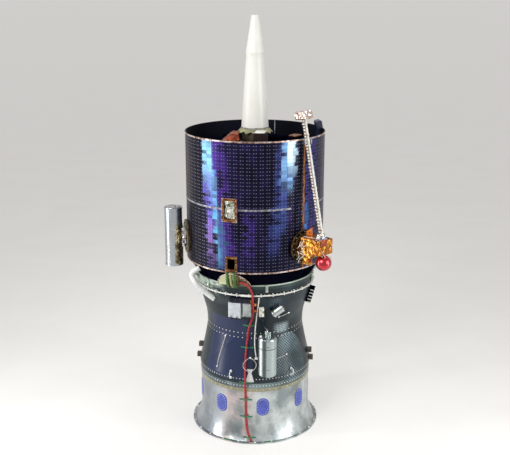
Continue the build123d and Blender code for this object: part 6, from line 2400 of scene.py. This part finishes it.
@dataclass(frozen=True)
class Lamp:
    """A rectangular lamp that faces a height on the spin axis."""

    name: str
    spot: Triple
    target: float
    width: float
    height: float
    power: float
    spread: float = 130.0

    def hang(self) -> None:
        """Hangs the lamp."""
        data = bpy.data.lights.new(self.name, "AREA")
        data.shape = "RECTANGLE"
        data.size, data.size_y, data.energy = self.width, self.height, self.power
        data.spread = math.radians(self.spread)
        lamp = bpy.data.objects.new(self.name, data)
        bpy.context.collection.objects.link(lamp)
        lamp.location = self.spot
        aim = UP * self.target - Vector(self.spot)
        lamp.rotation_euler = aim.to_track_quat("-Z", "Y").to_euler()


@dataclass(frozen=True)
class Studio:
    """Pale floor, soft lamps and the camera of the photograph."""

    camera_place: Triple = (0.0, -8.622, 4.467)
    camera_tilt: float = 74.484
    focal_length: float = 62.47
    sensor_width: float = 36.0
    floor_size: float = 1000.0
    world_light: float = 0.42
    world_view: float = 0.60
    world_tint: Colour = (1.0, 0.985, 0.96)
    lamps: tuple[Lamp, ...] = (
        Lamp("key", (-3.6, -5.2, 6.2), 2.2, 3.2, 3.0, 162.0),
        Lamp("fill", (5.0, -4.2, 3.4), 2.0, 2.6, 3.4, 55.0),
        Lamp("left_strip", (-5.2, -1.5, 2.4), 2.0, 0.7, 4.2, 74.0),
        Lamp("right_strip", (4.4, -2.2, 2.4), 2.0, 0.45, 4.2, 44.0),
        Lamp("top", (0.5, 0.5, 7.5), 2.0, 4.0, 4.0, 57.0))

    def build(self) -> None:
        """Sets up the studio."""
        bpy.context.scene.view_settings.view_transform = "Standard"
        floor = start_piece("studio_floor", bpy.ops.mesh.primitive_plane_add,
                            size=self.floor_size)
        floor.data.materials.append(Finishes.of(StudioFloor()))
        self.light_world()
        for lamp in self.lamps:
            lamp.hang()
        self.aim_camera()

    def light_world(self) -> None:
        """Lights the room softly, and shows a brighter wall to the camera and in metal."""
        world = bpy.data.worlds.new("studio")
        bpy.context.scene.world = world
        world.use_nodes = True
        tree = world.node_tree
        ground = tree.nodes["Background"]
        strength = tree.nodes.new("ShaderNodeMapRange")
        strength.inputs["To Min"].default_value = self.world_light
        strength.inputs["To Max"].default_value = self.world_view
        tree.links.new(seen_directly(tree), strength.inputs["Value"])
        ground.inputs["Color"].default_value = (*self.world_tint, 1.0)
        tree.links.new(strength.outputs[0], ground.inputs["Strength"])

    def aim_camera(self) -> None:
        """Stands the camera where the photograph was taken from."""
        data = bpy.data.cameras.new("camera")
        data.lens = self.focal_length
        data.sensor_width = self.sensor_width
        camera = bpy.data.objects.new("camera", data)
        bpy.context.collection.objects.link(camera)
        camera.location = self.camera_place
        camera.rotation_euler = (math.radians(self.camera_tilt), 0.0, 0.0)
        bpy.context.scene.camera = camera


def main() -> None:
    """Builds the scene."""
    logging.basicConfig(level=logging.INFO, format="%(name)s: %(message)s")
    random.seed(7)
    assemblies = [SolarDrum(), AntennaMast(), UpperDeck(),
                  *(BoomMast(letter) for letter in BOOM_AZIMUTHS), ElectronSensor(),
                  MagnetometerBoom(), GammaSensor(), ParticleSensors(), SeparationPlane(),
                  StageShell(), StageBoxes(), ServiceCable(), BaseAdapter(), Studio()]
    for assembly in assemblies:
        LOG.info("building %s", type(assembly).__name__)
        assembly.build()


if __name__ == "__main__":
    main()
